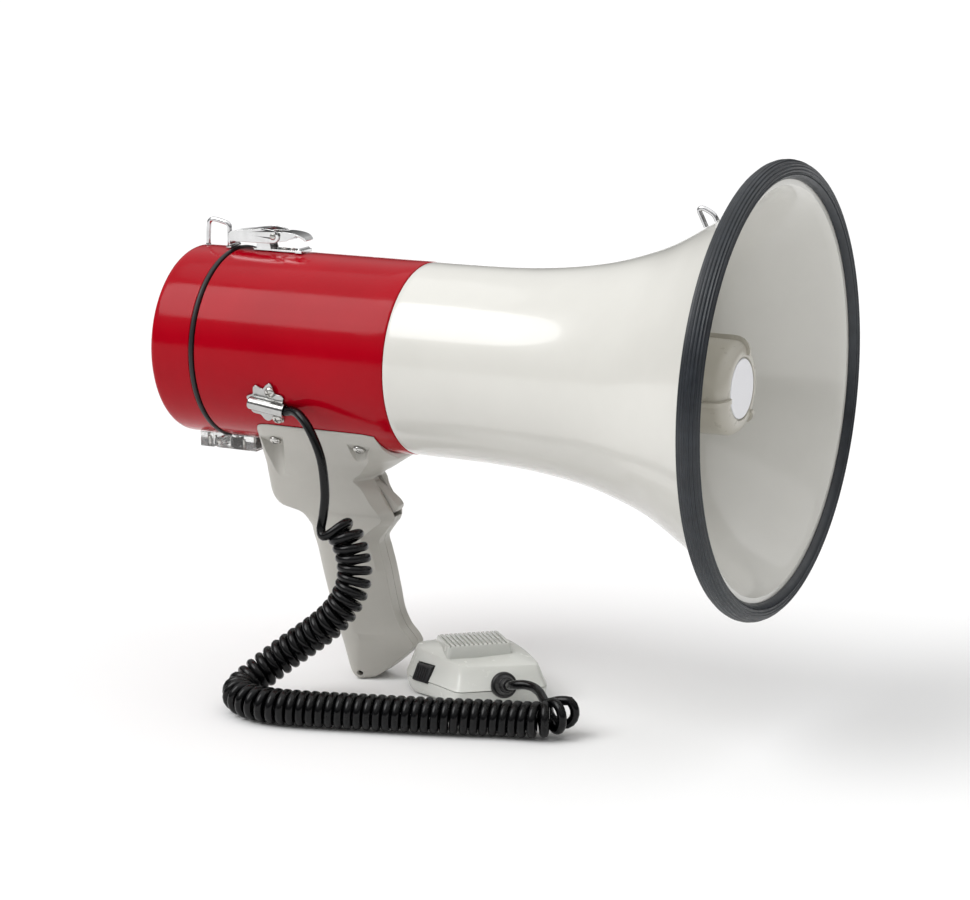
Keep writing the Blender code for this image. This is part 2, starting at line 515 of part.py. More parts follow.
def stations_at(z):
    """The handle's row at a height, eased between the rows of the table without overshoot."""
    i = 0
    while i < len(HANDLE) - 2 and z < HANDLE[i + 1][0]:
        i += 1
    a, b = HANDLE[i], HANDLE[i + 1]
    h = b[0] - a[0]
    u = (z - a[0]) / h
    out = []
    for k in range(1, len(a)):
        mid = (b[k] - a[k]) / h
        lead = (a[k] - HANDLE[i - 1][k]) / (a[0] - HANDLE[i - 1][0]) if i else mid
        follow = (HANDLE[i + 2][k] - b[k]) / (HANDLE[i + 2][0] - b[0]) if i + 2 < len(HANDLE) else mid
        ma = 2 * lead * mid / (lead + mid) if lead * mid > 0 else 0.0
        mb = 2 * follow * mid / (follow + mid) if follow * mid > 0 else 0.0
        out.append((2 * u**3 - 3 * u**2 + 1) * a[k] + (u**3 - 2 * u**2 + u) * h * ma + (3 * u**2 - 2 * u**3) * b[k] + (u**3 - u**2) * h * mb)
    return out


def rear_arc(z, x0, x1, half, count):
    """The outline's squared rear end, from the centre line round to the widest place."""
    ease = max(0.0, min(1.0, (-z - 79) / 16.0))
    power = 2 / (10.0 + (3.2 - 10.0) * ease)
    out = []
    for k in range(count + 1):
        a = math.pi / 2 * k / count
        out.append((x1 - (x1 - x0) * math.cos(a) ** power if k < count else x1, half * math.sin(a) ** power if k else 0.0))
    return out


def section(z, side, count=7):
    """Half of the handle's outline at a height: squared rear, flat flank, crease and keel."""
    rear_x, half, cx, cy, fx, fy = stations_at(z)
    mid = (rear_x + cx) / 2
    flat = rear_arc(z, rear_x, mid, half, count) + [(cx, cy), (fx, fy), (fx, 0.0)]
    return [(x, side * (y + 0.15), z) for x, y in flat]


def hollow_section(z, side, count=7):
    """The moulding's inside, kept behind the trigger pin above and clear of the keel below."""
    rear_x, half, cx, cy, fx, fy = stations_at(z)
    ease = max(0.0, min(1.0, (-z - 89) / 5.0))
    front = -241.0 + (fx - 3.2 + 241.0) * ease
    rear_x, half, mid = rear_x + 2.4, half - 2.4, (rear_x + cx) / 2
    if front < cx:
        y = half + (cy - 2.4 - half) * max(0.0, (front - mid) / (cx - mid))
        flat = rear_arc(z, rear_x, min(mid, front - 2), half, count) + [(front, y), (front, 0.0)]
        flat.insert(-2, ((flat[-3][0] + front) / 2, (flat[-3][1] + y) / 2))
    else:
        y = cy - 2.4 + (fy - cy) * (front - cx) / (fx - cx)
        flat = rear_arc(z, rear_x, mid, half, count) + [(cx, cy - 2.4), (front, y), (front, 0.0)]
    return [(x, side * y if 0 < i < len(flat) - 1 else -side * 2.0, z) for i, (x, y) in enumerate(flat)]


WELLS = {"rear": (-276.2, [(-286.5, 40), (-285.6, 36), (-285.3, 33), (-284.3, 27), (-281.9, 22.8), (-279.8, 21), (-278, 20.6), (-276, 21.2), (-274.2, 22.8),
                           (-272, 27.3), (-269, 34), (-268, 40)]),
         "front": (-225.3, [(-231.6, 40), (-231, 34), (-230.6, 28.6), (-229.6, 25.2), (-228, 24.4), (-226, 24.8), (-222.4, 26.6), (-214.6, 33.5), (-213.5, 40)])}


def screw_axis(x, side):
    """The saddle screw's seat outside the tube, and the way it points."""
    out = Vector((0, side * math.cos(math.radians(57.5)), -math.sin(math.radians(57.5))))
    return Vector((x, 0, 0)) + out * 53.8, out


heights = [p[0] for p in HANDLE if p[0] not in (-33, -101, -156.5) or p[0] == -33]


def closed_rings(rings, side):
    return [[(ring[0][0], side * 0.15, ring[0][2])] + ring[1:-1] + [(ring[-1][0], side * 0.15, ring[0][2])] for ring in rings]


def handle_half(name, side):
    half = finish(name, lofted(closed_rings([section(z, side) for z in heights], side)), GREY, 0.45, origin=(-250, side * 8, -110), smooth=45)
    cut(half, lofted([hollow_section(z, side) for z in (-71, -79.3, -84.5, -86, -87, -89, -92, -96, -106, -116, -139, -153, -165, -174.5)]))
    # saddle: the tube's own curve
    cut(half, rod((-330, 0, 0), (-199.0, 0, 0), TUBE_R + GAP, seg=60))
    # slot for the trigger between the cheeks, and its pin hole
    slot = [(-247, -70.5), (-240.5, -65.2), (-237.2, -64.3), (-233.2, -64.3), (-230.9, -66.6), (-212, -66.6), (-212, -86.6), (-226, -87.6), (-236, -87.6), (-247, -84.5)]
    cut(half, side_plate(slot, -4.1, 4.1))
    cut(half, rod((TRIGGER_X, -11.6, TRIGGER_Z), (TRIGGER_X, 11.6, TRIGGER_Z), 1.6, seg=14))
    # screw wells in the flank: straight down in plan, with a ceiling that keeps the tube's curve
    for x, plan in WELLS.values():
        well = helper(extruded([(px, side * py, -95) for px, py in plan], (0, 0, 65)))
        cut(well, rod((-330, 0, 0), (-199.0, 0, 0), 53.6, seg=60))
        cut_by(half, well)
        start, out = screw_axis(x, side)
        cut(half, rod(Vector((x, 0, 0)) + out * 49, start + out, 1.9, seg=12))
    return half


left = handle_half("handle_shell_left", -1)
right = handle_half("handle_shell_right", 1)
for key, side in (("left", -1), ("right", 1)):
    for place in ("rear", "front"):
        x = WELLS[place][0]
        start, out = screw_axis(x, side)
        screw = finish(f"saddle_screw_{place}_{key}", rod(start + out * 0.3, start + out * 2.4, 3.3, 2.7, seg=12), STEEL, 0.25, 1.0,
                       origin=tuple(start))
        join(screw, rod(Vector((x, 0, 0)) + out * (TUBE_R + 0.5), start + out * 0.6, 1.5, seg=8))
        cut(screw, rod(start + out * 1.4, start + out * 3, 0.9, seg=6))

trigger_side = [(-238, -66.5), (-236.8, -65.4), (-235, -65.0), (-233, -65.6), (-231.9, -67.2), (-231.2, -68.9), (-228, -71.1), (-224.3, -73.8), (-220.7, -76.4),
                (-218.3, -78.3), (-216.9, -79.9), (-216.3, -81.2), (-216.5, -82.5), (-217.5, -84.0), (-219.2, -85.1), (-222, -85.4), (-229, -84.3), (-233, -82.0), (-238, -72.6)]
trigger = finish("trigger", side_plate(trigger_side, -3.6, 3.6), GREY, 0.45, origin=(TRIGGER_X, 0, TRIGGER_Z))
bevelled(trigger, 0.4, 1, 50)
cut(trigger, rod((TRIGGER_X, -12, TRIGGER_Z), (TRIGGER_X, 12, TRIGGER_Z), 1.55, seg=14))
finish("trigger_pin", rod((TRIGGER_X, -11.2, TRIGGER_Z), (TRIGGER_X, 11.2, TRIGGER_Z), 1.25, seg=14), STEEL, 0.3, 1.0,
       origin=(TRIGGER_X, 0, TRIGGER_Z))
finish("talk_switch", slab((-260, -5, -84), (-244.0, 5, -74)), BLACK, 0.5, origin=(-252, 0, -80))
spring = []
for k in range(25):
    a = 2 * math.pi * 3 * k / 24
    spring.append((-243.3 + 5.6 * k / 24, 2.0 * math.cos(a), -78.0 + 2.0 * math.sin(a)))
wire("trigger_spring", [(x, y, z) for x, y, z in spring], 0.3, STEEL, 0.3, 1.0, 0)

# ---------------------------------------------------------------- palm microphone on the floor
MIC_TURN = math.radians(40)
MIC_A = Vector((math.cos(MIC_TURN), math.sin(MIC_TURN), 0))
MIC_B = Vector((-math.sin(MIC_TURN), math.cos(MIC_TURN), 0))
MIC_O = MIC_A * -124.0 + MIC_B * 77.0 + Vector((0, 0, -AXIS_HEIGHT))
SEAM = 9.0


def mic(u, v, h):
    """u to the right along the cord end, v away from it, h above the floor."""
    return MIC_O + MIC_A * u + MIC_B * v + Vector((0, 0, h))


# outline at the seam and at the upper edge: u, v, and the upper edge's height
SEAM_LINE = [(-22.5, 0.0), (-26.5, 3.0), (-31.0, 13.0), (-36.5, 23.5), (-42.0, 33.0), (-43.0, 41.0), (-41.0, 50.0), (-35.0, 57.0),
             (-24.0, 60.5), (-8.0, 61.5), (9.0, 60.5), (20.0, 57.0), (26.0, 50.0), (28.0, 41.0), (27.5, 32.0), (26.0, 18.0),
             (24.0, 5.0), (20.5, 0.0)]
TOP_LINE = [(-22.0, 4.5, 20.0), (-25.0, 6.5, 20.2), (-29.5, 15.0, 21.0), (-34.0, 24.0, 22.0), (-37.5, 33.0, 22.6), (-38.0, 41.0, 23.2),
            (-36.0, 48.0, 23.4), (-31.0, 53.0, 23.0), (-22.0, 56.0, 22.6), (-8.0, 57.0, 22.4), (7.0, 56.0, 22.4), (15.0, 53.0, 22.4),
            (19.5, 47.0, 22.4), (21.0, 40.0, 22.2), (21.0, 31.0, 21.8), (20.6, 18.0, 21.0), (20.2, 7.0, 20.2), (18.0, 4.5, 20.0)]


def inset_line(line, d, centre=(-8.0, 30.0)):
    out = []
    for p in line:
        du, dv = p[0] - centre[0], p[1] - centre[1]
        reach = math.hypot(du, dv)
        out.append((centre[0] + du * (1 - d / reach), centre[1] + dv * (1 - d / reach), *p[2:]))
    return out


def mic_ring(line, h=None):
    return [tuple(mic(p[0], p[1], p[2] if h is None else h)) for p in line]


centre_top = inset_line(TOP_LINE, 6.0)
upper = finish("mic_front_shell", lofted([mic_ring(SEAM_LINE, SEAM + 0.15),
                                          [tuple(mic(p[0], p[1], p[2] - 1.2)) for p in TOP_LINE],
                                          [tuple(mic(p[0], p[1], p[2] + 0.1)) for p in inset_line(TOP_LINE, 1.3)],
                                          [tuple(mic(p[0], p[1], p[2] + 0.7)) for p in centre_top]]),
               GREY, 0.4, origin=tuple(mic(-8, 30, 15)), smooth=25)
pad_low = [(-26.5, 20.5), (10.5, 20.5), (10.5, 54.0), (-26.5, 54.0)]
pad = []
for h0, h1, d in ((18.0, 18.0, 0.0), (22.6, 22.6, 0.0), (27.6, 25.4, 1.6), (28.2, 26.0, 2.4)):
    pad.append([tuple(mic(u + (d if u < 0 else -d), v + (d if v < 30 else -d), h0 if v < 30 else h1)) for u, v in pad_low])
join(upper, lofted(pad))
cut(upper, lofted([mic_ring(inset_line(SEAM_LINE, 2.4), SEAM - 3), mic_ring(inset_line(TOP_LINE, 3.6), 17.6)]))
for k in range(13):
    u = -23.6 + 2.5 * k
    groove = [tuple(mic(u, v, h)) for v, h in ((23.5, 26.9), (50.5, 25.0), (50.5, 32), (23.5, 32))]
    cut(upper, extruded(groove, MIC_A * 1.1))
lower = finish("mic_back_shell", lofted([mic_ring(inset_line(SEAM_LINE, 5.0), 0.0), mic_ring(inset_line(SEAM_LINE, 2.0), 1.2),
                                         mic_ring(inset_line(SEAM_LINE, 0.6), 4.0), mic_ring(SEAM_LINE, SEAM - 0.15)]),
               GREY, 0.4, origin=tuple(mic(-8, 30, 4)), smooth=25)
cut(lower, lofted([mic_ring(inset_line(SEAM_LINE, 4.4), 3.0), mic_ring(inset_line(SEAM_LINE, 2.4), SEAM + 3)]))

# press-to-talk button in the chamfered side
PTT_IN = MIC_A * 0.87 + MIC_B * 0.49
PTT_ALONG = MIC_A * 0.49 - MIC_B * 0.87
PTT_AT = mic(-38.9, 27.6, 12.6)


def ptt_block(depth0, depth1, half_long, half_high):
    c = [PTT_AT + PTT_ALONG * (a * half_long) + Vector((0, 0, b * half_high)) + PTT_IN * depth0 for a, b in
         ((-1, -1), (1, -1), (1, 1), (-1, 1))]
    return extruded([tuple(p) for p in c], PTT_IN * (depth1 - depth0))


cut(upper, ptt_block(-6, 8, 6.3, 4.6))
cut(lower, ptt_block(-6, 8, 6.3, 4.6))
button = finish("mic_talk_button", ptt_block(-1.2, 7.0, 5.9, 4.2), BLACK, 0.4, origin=tuple(PTT_AT))
bevelled(button, 0.5, 1, 30)
finish("mic_talk_switch", ptt_block(9.6, 15.0, 5.0, 3.2), (0.1, 0.1, 0.1), 0.5, origin=tuple(PTT_AT + PTT_IN * 12))
finish("mic_capsule", rod(mic(-8, 38, 9.6), mic(-8, 38, 17.0), 5.5, seg=20), (0.3, 0.3, 0.3), 0.4, 0.7, origin=tuple(mic(-8, 38, 14)))

# strain relief boot: square to the tilted end face
BOOT_DIR = (MIC_B * -math.cos(math.radians(16)) + Vector((0, 0, math.sin(math.radians(16))))).normalized()
BOOT_AT = mic(0.0, 0.9, 11.6)
for shell in (upper, lower):
    cut(shell, rod(BOOT_AT + BOOT_DIR * -6, BOOT_AT + BOOT_DIR * 8, 3.9, seg=18))
    cut(shell, rod(BOOT_AT + BOOT_DIR * 0.0, BOOT_AT + BOOT_DIR * 10, 6.7, seg=24))
boot = finish("mic_cord_boot", rod(BOOT_AT + BOOT_DIR * 0.3, BOOT_AT + BOOT_DIR * 2.9, 6.3, 6.0, seg=24), BLACK, 0.5,
              origin=tuple(BOOT_AT), smooth=40)
join(boot, rod(BOOT_AT + BOOT_DIR * -5, BOOT_AT + BOOT_DIR * 1.5, 3.5, seg=18),
     rod(BOOT_AT + BOOT_DIR * 2.4, BOOT_AT + BOOT_DIR * 7.0, 5.2, 4.2, seg=20),
     rod(BOOT_AT + BOOT_DIR * 6.4, BOOT_AT + BOOT_DIR * 13.0, 3.6, 3.2, seg=18))
BOOT_END = BOOT_AT + BOOT_DIR * 13.0

# ---------------------------------------------------------------- cord
FLOOR = -AXIS_HEIGHT
CORD_EXIT = band(11.9)
LEAD = [tuple(CORD_EXIT), (-254.2, -48.4, -24.2), (-247.6, -51.6, -25.6), (-240.4, -53.6, -32.6), (-234.4, -53.4, -46.6), (-232.8, -52.4, -63.7),
        (-233.9, -50.8, -76.5)]
COIL = [(-227.2, -49.0, -82.4), (-224.2, -48.5, -85.4), (-221.8, -48.1, -89.2), (-220.2, -47.9, -94.2), (-218.6, -47.8, -100.0), (-217.6, -48.0, -106.6),
        (-218.6, -49.2, -114.6), (-222.4, -51.4, -124.0), (-229.6, -54.2, -133.4), (-240.4, -57.6, -142.6), (-250.2, -61.8, -150.4), (-258.0, -67.0, -157.2),
        (-264.6, -74.8, -163.8), (-267.2, -83.6, FLOOR + 9.6), (-262.4, -92.0, FLOOR + 9.4), (-253.4, -97.2, FLOOR + 9.4), (-241.0, -99.0, FLOOR + 9.4),
        (-223.9, -95.8, FLOOR + 9.4), (-198.6, -88.3, FLOOR + 9.4), (-173.5, -80.6, FLOOR + 9.4), (-149.3, -72.6, FLOOR + 9.4), (-125.2, -63.8, FLOOR + 9.4),
        (-111.5, -58.2, FLOOR + 9.4), (-102.9, -54.4, FLOOR + 10.2), (-98.0, -49.8, FLOOR + 11.6), (-96.8, -44.4, FLOOR + 12.6)]
TAIL = [tuple(BOOT_END + BOOT_DIR * 0.8), tuple(BOOT_END + BOOT_DIR * 4.0), (-130.8, -34.4, FLOOR + 17.8), (-125.0, -34.6, FLOOR + 18.6),
        (-118.4, -36.8, FLOOR + 18.2), (-113.0, -41.6, FLOOR + 17.4)]
lead = catmull(LEAD, 10.0)
coil = catmull(COIL, 10.5)
wire("cord_lead", [tuple(p) for p in lead], CORD_D / 2, BLACK, 0.35, 0.0, 2)
wire("cord_coil", [tuple(p) for p in coil], COIL_D / 2, BLACK, 0.35, 0.0, 3)
wire("cord_tail", [tuple(p) for p in catmull(TAIL, 4.0)], CORD_D / 2, BLACK, 0.35, 0.0, 2)
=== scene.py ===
"""Looks of the handheld megaphone: fine shapes, materials, floor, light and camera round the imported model."""

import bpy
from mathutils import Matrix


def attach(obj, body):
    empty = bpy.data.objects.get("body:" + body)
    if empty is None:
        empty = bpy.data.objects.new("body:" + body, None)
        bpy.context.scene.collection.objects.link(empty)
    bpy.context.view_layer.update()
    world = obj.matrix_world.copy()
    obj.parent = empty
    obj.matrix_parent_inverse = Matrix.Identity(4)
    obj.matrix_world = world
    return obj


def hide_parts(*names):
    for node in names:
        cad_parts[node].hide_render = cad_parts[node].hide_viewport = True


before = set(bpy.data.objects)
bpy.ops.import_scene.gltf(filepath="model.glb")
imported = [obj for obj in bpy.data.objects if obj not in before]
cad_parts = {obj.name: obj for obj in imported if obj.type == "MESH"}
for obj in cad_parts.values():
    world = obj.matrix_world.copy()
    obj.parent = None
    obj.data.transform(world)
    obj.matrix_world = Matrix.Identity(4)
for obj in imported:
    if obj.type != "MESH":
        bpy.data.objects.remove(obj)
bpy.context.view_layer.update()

import math

import bmesh
import bpy
from mathutils import Matrix, Vector

MM = 0.001
X0, AXIS_HEIGHT = 170.35, 177.5
TUBE_R, GAP = 50.9, 0.3
FLOOR = -AXIS_HEIGHT
HINGE_X, HINGE_Z = -320.6, -54.2
LEVER_X, LEVER_Z = -297.5, 58.8
CLAW_X, CLAW_Z = -289.5, 59.3
TRIGGER_X, TRIGGER_Z = -235.0, -68.0
X_SEAL = -314.2
X_REAR = -340.7


def W(x, y, z):
    """Horn-axis millimetres to the row frame's metres."""
    return Vector(((x + X0) * MM, y * MM, (z + AXIS_HEIGHT) * MM))


# ------------------------------------------------------------------ camera
camera = bpy.data.cameras.new("camera")
camera.lens = 104.25
camera.sensor_width = 36.0
camera.clip_end = 100
eye = bpy.data.objects.new("camera", camera)
eye.location = (0.65115, -1.2811, 0.4565)
eye.rotation_euler = (math.radians(77.245), math.radians(0.0), math.radians(26.79))
bpy.context.scene.collection.objects.link(eye)
bpy.context.scene.camera = eye
bpy.context.scene.view_settings.view_transform = "Standard"


# ------------------------------------------------------------------ materials
def surface(name, colour, roughness, metallic=0.0, coat=0.0, coat_rough=0.06, shade=0.0, shade_scale=60.0, dark=None,
            rough_shift=0.0, rough_scale=150.0, bumps=(), rounded=0.0, transmission=0.0, ior=1.5, specular=0.5, alpha=1.0):
    """A procedural material: mottled colour, uneven roughness, stacked bumps and softened edges."""
    mat = bpy.data.materials.new(name)
    mat.use_nodes = True
    tree = mat.node_tree
    n, link = tree.nodes, tree.links.new
    shader = n["Principled BSDF"]
    shader.inputs["Base Color"].default_value = (*colour, 1)
    shader.inputs["Roughness"].default_value = roughness
    shader.inputs["Metallic"].default_value = metallic
    shader.inputs["Coat Weight"].default_value = coat
    shader.inputs["Coat Roughness"].default_value = coat_rough
    shader.inputs["Transmission Weight"].default_value = transmission
    shader.inputs["IOR"].default_value = ior
    shader.inputs["Specular IOR Level"].default_value = specular
    shader.inputs["Alpha"].default_value = alpha
    where = n.new("ShaderNodeTexCoord")

    def noise(scale, detail=3.0, rough=0.5):
        tex = n.new("ShaderNodeTexNoise")
        tex.inputs["Scale"].default_value = scale
        tex.inputs["Detail"].default_value = detail
        tex.inputs["Roughness"].default_value = rough
        link(where.outputs["Object"], tex.inputs["Vector"])
        return tex.outputs["Fac"]

    if shade:
        ramp = n.new("ShaderNodeValToRGB")
        other = dark or tuple(c * (1 - shade) for c in colour)
        ramp.color_ramp.elements[0].position = 0.36
        ramp.color_ramp.elements[0].color = (*other, 1)
        ramp.color_ramp.elements[1].position = 0.64
        ramp.color_ramp.elements[1].color = (*colour, 1)
        link(noise(shade_scale, 5.0, 0.6), ramp.inputs["Fac"])
        link(ramp.outputs["Color"], shader.inputs["Base Color"])
    if rough_shift:
        ranged = n.new("ShaderNodeMapRange")
        ranged.inputs["From Min"].default_value = 0.3
        ranged.inputs["From Max"].default_value = 0.7
        ranged.inputs["To Min"].default_value = max(roughness - rough_shift, 0.02)
        ranged.inputs["To Max"].default_value = roughness + rough_shift
        link(noise(rough_scale, 4.0, 0.6), ranged.inputs["Value"])
        link(ranged.outputs["Result"], shader.inputs["Roughness"])
    normal = None
    if rounded:
        edge = n.new("ShaderNodeBevel")
        edge.samples = 6
        edge.inputs["Radius"].default_value = rounded * MM
        normal = edge.outputs["Normal"]
    for scale, strength, distance in bumps:
        bump = n.new("ShaderNodeBump")
        bump.inputs["Strength"].default_value = strength
        bump.inputs["Distance"].default_value = distance * MM
        link(noise(scale, 3.0, 0.55), bump.inputs["Height"])
        if normal:
            link(normal, bump.inputs["Normal"])
        normal = bump.outputs["Normal"]
    if normal:
        link(normal, shader.inputs["Normal"])
    return mat


HORN_PAINT = surface("horn_paint", (0.72, 0.71, 0.665), 0.22, coat=0.45, coat_rough=0.05, shade=0.035, shade_scale=18,
                     rough_shift=0.05, rough_scale=40, bumps=((55, 0.10, 0.12), (900, 0.05, 0.02)))
TUBE_PAINT = surface("tube_paint", (0.41, 0.0006, 0.009), 0.13, coat=0.0, coat_rough=0.04, specular=0.15, shade=0.10, shade_scale=22,
                     rough_shift=0.05, rough_scale=40, bumps=((55, 0.10, 0.12), (900, 0.05, 0.02)))
RIM_RUBBER = surface("rim_rubber", (0.020, 0.025, 0.032), 0.36, shade=0.35, shade_scale=120, rough_shift=0.08, rough_scale=260,
                     bumps=((1400, 0.12, 0.03),))
GASKET = surface("gasket_rubber", (0.010, 0.010, 0.012), 0.45, shade=0.4, shade_scale=300, rough_shift=0.1, bumps=((1500, 0.2, 0.03),))
CUP = surface("cup_plastic", (0.52, 0.495, 0.43), 0.30, coat=0.2, coat_rough=0.1, shade=0.04, shade_scale=40, rough_shift=0.04,
              bumps=((900, 0.06, 0.015), (60, 0.04, 0.1)), rounded=0.3)
LABEL = surface("label_disc", (0.80, 0.80, 0.83), 0.25, coat=0.5, coat_rough=0.04, shade=0.015, shade_scale=30, rough_shift=0.02,
                bumps=((1100, 0.05, 0.01),))
GREY_PLASTIC = surface("handle_plastic", (0.53, 0.515, 0.472), 0.36, coat=0.12, coat_rough=0.2, shade=0.05, shade_scale=45, rough_shift=0.07, rough_scale=120,
                       bumps=((2200, 0.10, 0.02), (70, 0.10, 0.2)), rounded=0.7)
MIC_PLASTIC = surface("mic_plastic", (0.70, 0.71, 0.67), 0.26, coat=0.2, coat_rough=0.15, shade=0.02, shade_scale=40, rough_shift=0.02, rough_scale=140,
                      bumps=((2200, 0.05, 0.01),), rounded=0.15)
BLACK_PLASTIC = surface("black_plastic", (0.012, 0.012, 0.014), 0.38, shade=0.4, shade_scale=200, rough_shift=0.08, bumps=((1800, 0.2, 0.03),), rounded=0.3)
CHROME = surface("latch_chrome", (0.76, 0.76, 0.76), 0.11, metallic=1.0, shade=0.12, shade_scale=160, rough_shift=0.07, rough_scale=240,
                 bumps=((240, 0.12, 0.08), (1500, 0.08, 0.01)), rounded=0.3)
WIRE = surface("wire_steel", (0.72, 0.72, 0.73), 0.2, metallic=1.0, shade=0.2, shade_scale=260, rough_shift=0.1, bumps=((800, 0.1, 0.03),))
CLAMP = surface("clamp_metal", (0.50, 0.50, 0.49), 0.20, metallic=1.0, shade=0.12, shade_scale=260, rough_shift=0.08, rough_scale=400,
                bumps=((420, 0.15, 0.06), (1500, 0.1, 0.01)), rounded=0.35)
SCREW = surface("screw_steel", (0.66, 0.65, 0.62), 0.24, metallic=1.0, shade=0.25, shade_scale=500, rough_shift=0.1, bumps=((900, 0.15, 0.03),), rounded=0.25)
CLEAR = surface("clear_plastic", (0.93, 0.94, 0.93), 0.09, transmission=0.92, ior=1.47, shade=0.06, shade_scale=150, rough_shift=0.05,
                bumps=((320, 0.15, 0.08),), rounded=0.4)
CORD = surface("cord_jacket", (0.0022, 0.0023, 0.0028), 0.22, shade=0.35, shade_scale=220, rough_shift=0.08, rough_scale=300,
               bumps=((1600, 0.08, 0.01), (300, 0.08, 0.05)), specular=0.27)
BOOT = surface("cord_rubber", (0.006, 0.006, 0.007), 0.34, shade=0.3, shade_scale=260, rough_shift=0.08, bumps=((1500, 0.18, 0.03),), rounded=0.3)
CAVITY = surface("dark_inside", (0.02, 0.02, 0.02), 0.7, shade=0.3, shade_scale=100, bumps=((600, 0.2, 0.05),))
MAGNET = surface("magnet", (0.05, 0.05, 0.055), 0.5, metallic=0.4, shade=0.3, shade_scale=120, rough_shift=0.1, bumps=((700, 0.2, 0.05),))
AMBER = surface("diaphragm", (0.42, 0.22, 0.08), 0.3, shade=0.2, shade_scale=150, rough_shift=0.08, bumps=((500, 0.15, 0.05),))
BOARD = surface("circuit_board", (0.01, 0.12, 0.04), 0.35, shade=0.45, shade_scale=240, rough_shift=0.1, bumps=((700, 0.25, 0.08),))
CELL = surface("cell_case", (0.55, 0.36, 0.06), 0.28, metallic=0.5, shade=0.15, shade_scale=80, rough_shift=0.08, bumps=((500, 0.1, 0.03),))
SATIN = surface("switch_metal", (0.55, 0.55, 0.56), 0.32, metallic=1.0, shade=0.2, shade_scale=200, rough_shift=0.1, bumps=((900, 0.15, 0.03),), rounded=0.2)
MARK = surface("white_mark", (0.75, 0.75, 0.74), 0.5, shade=0.1, shade_scale=300, bumps=((900, 0.1, 0.01),))


# ------------------------------------------------------------------ modelling helpers
def finish_mesh(name, bm, mat, smooth=32.0, raw=False):
    if not raw:
        bmesh.ops.remove_doubles(bm, verts=bm.verts, dist=1e-4)
        bmesh.ops.recalc_face_normals(bm, faces=bm.faces)
    for v in bm.verts:
        v.co = W(*v.co)
    mesh = bpy.data.meshes.new(name)
    bm.to_mesh(mesh)
    bm.free()
    obj = bpy.data.objects.new(name, mesh)
    bpy.context.scene.collection.objects.link(obj)
    mesh.materials.append(mat)
    mesh.shade_smooth()
    mesh.set_sharp_from_angle(angle=math.radians(smooth))
    return obj


def applied(obj, smooth=32.0):
    bpy.context.view_layer.update()
    graph = bpy.context.evaluated_depsgraph_get()
    mesh = bpy.data.meshes.new_from_object(obj.evaluated_get(graph))
    old = obj.data
    obj.modifiers.clear()
    obj.data = mesh
    bpy.data.meshes.remove(old)
    mesh.shade_smooth()
    mesh.set_sharp_from_angle(angle=math.radians(smooth))
    return obj


def combine(obj, bms, operation, smooth=32.0):
    for bm in bms:
        tool = finish_mesh("tool", bm, obj.data.materials[0])
        mod = obj.modifiers.new("Boolean", "BOOLEAN")
        mod.operation = operation
        mod.solver = "EXACT"
        mod.object = tool
        applied(obj, smooth)
        bpy.data.objects.remove(tool, do_unlink=True)
    return obj


def cut_by(obj, tool, smooth=32.0):
    mod = obj.modifiers.new("Boolean", "BOOLEAN")
    mod.operation = "DIFFERENCE"
    mod.solver = "EXACT"
    mod.object = tool
    applied(obj, smooth)
    bpy.data.objects.remove(tool, do_unlink=True)
    return obj


def cut(obj, *bms, smooth=32.0):
    return combine(obj, bms, "DIFFERENCE", smooth)


def join(obj, *bms, smooth=32.0):
    return combine(obj, bms, "UNION", smooth)


def bevelled(obj, width, segments=2, angle=35.0):
    mod = obj.modifiers.new("Bevel", "BEVEL")
    mod.width = width * MM
    mod.segments = segments
    mod.limit_method = "ANGLE"
    mod.angle_limit = math.radians(angle)
    mod.use_clamp_overlap = True
    return applied(obj)


def turned(profile, seg=96, centre=(0.0, 0.0)):
    bm = bmesh.new()
    verts = [bm.verts.new((x, 0.0, r)) for x, r in profile]
    edges = [bm.edges.new((verts[i], verts[(i + 1) % len(verts)])) for i in range(len(verts))
             if not (profile[i][1] < 1e-6 and profile[(i + 1) % len(verts)][1] < 1e-6)]
    bmesh.ops.spin(bm, geom=verts + edges, cent=(0, 0, 0), axis=(1, 0, 0), dvec=(0, 0, 0), angle=2 * math.pi, steps=seg,
                   use_merge=True, use_duplicate=False)
    bmesh.ops.remove_doubles(bm, verts=bm.verts, dist=1e-4)
    for v in bm.verts:
        v.co += Vector((0.0, centre[0], centre[1]))
    return bm


def rod(p0, p1, r0, r1=None, seg=32):
    p0, p1 = Vector(p0), Vector(p1)
    turn = (p1 - p0).to_track_quat("Z", "Y").to_matrix().to_4x4()
    bm = bmesh.new()
    bmesh.ops.create_cone(bm, cap_ends=True, segments=seg, radius1=r0, radius2=r0 if r1 is None else r1, depth=(p1 - p0).length,
                          matrix=Matrix.Translation((p0 + p1) / 2) @ turn)
    return bm


def pole(p0, p1, profile, seg=40):
    """A turned shape along any line: profile is (distance from p0, radius), its outline from the axis and back to it."""
    p0, p1 = Vector(p0), Vector(p1)
    turn = (p1 - p0).to_track_quat("X", "Y").to_matrix().to_4x4()
    bm = turned(profile, seg)
    bmesh.ops.transform(bm, matrix=Matrix.Translation(p0) @ turn, verts=bm.verts)
    return bm


def slab(lo, hi):
    bm = bmesh.new()
    size = [b - a for a, b in zip(lo, hi)]
    mid = [(a + b) / 2 for a, b in zip(lo, hi)]
    bmesh.ops.create_cube(bm, size=1.0, matrix=Matrix.Translation(mid) @ Matrix.Diagonal((*size, 1.0)))
    return bm


def extruded(points, vector):
    bm = bmesh.new()
    face = bm.faces.new([bm.verts.new(p) for p in points])
    made = bmesh.ops.extrude_face_region(bm, geom=[face])
    bmesh.ops.translate(bm, vec=Vector(vector), verts=[g for g in made["geom"] if isinstance(g, bmesh.types.BMVert)])
    bmesh.ops.recalc_face_normals(bm, faces=bm.faces)
    return bm


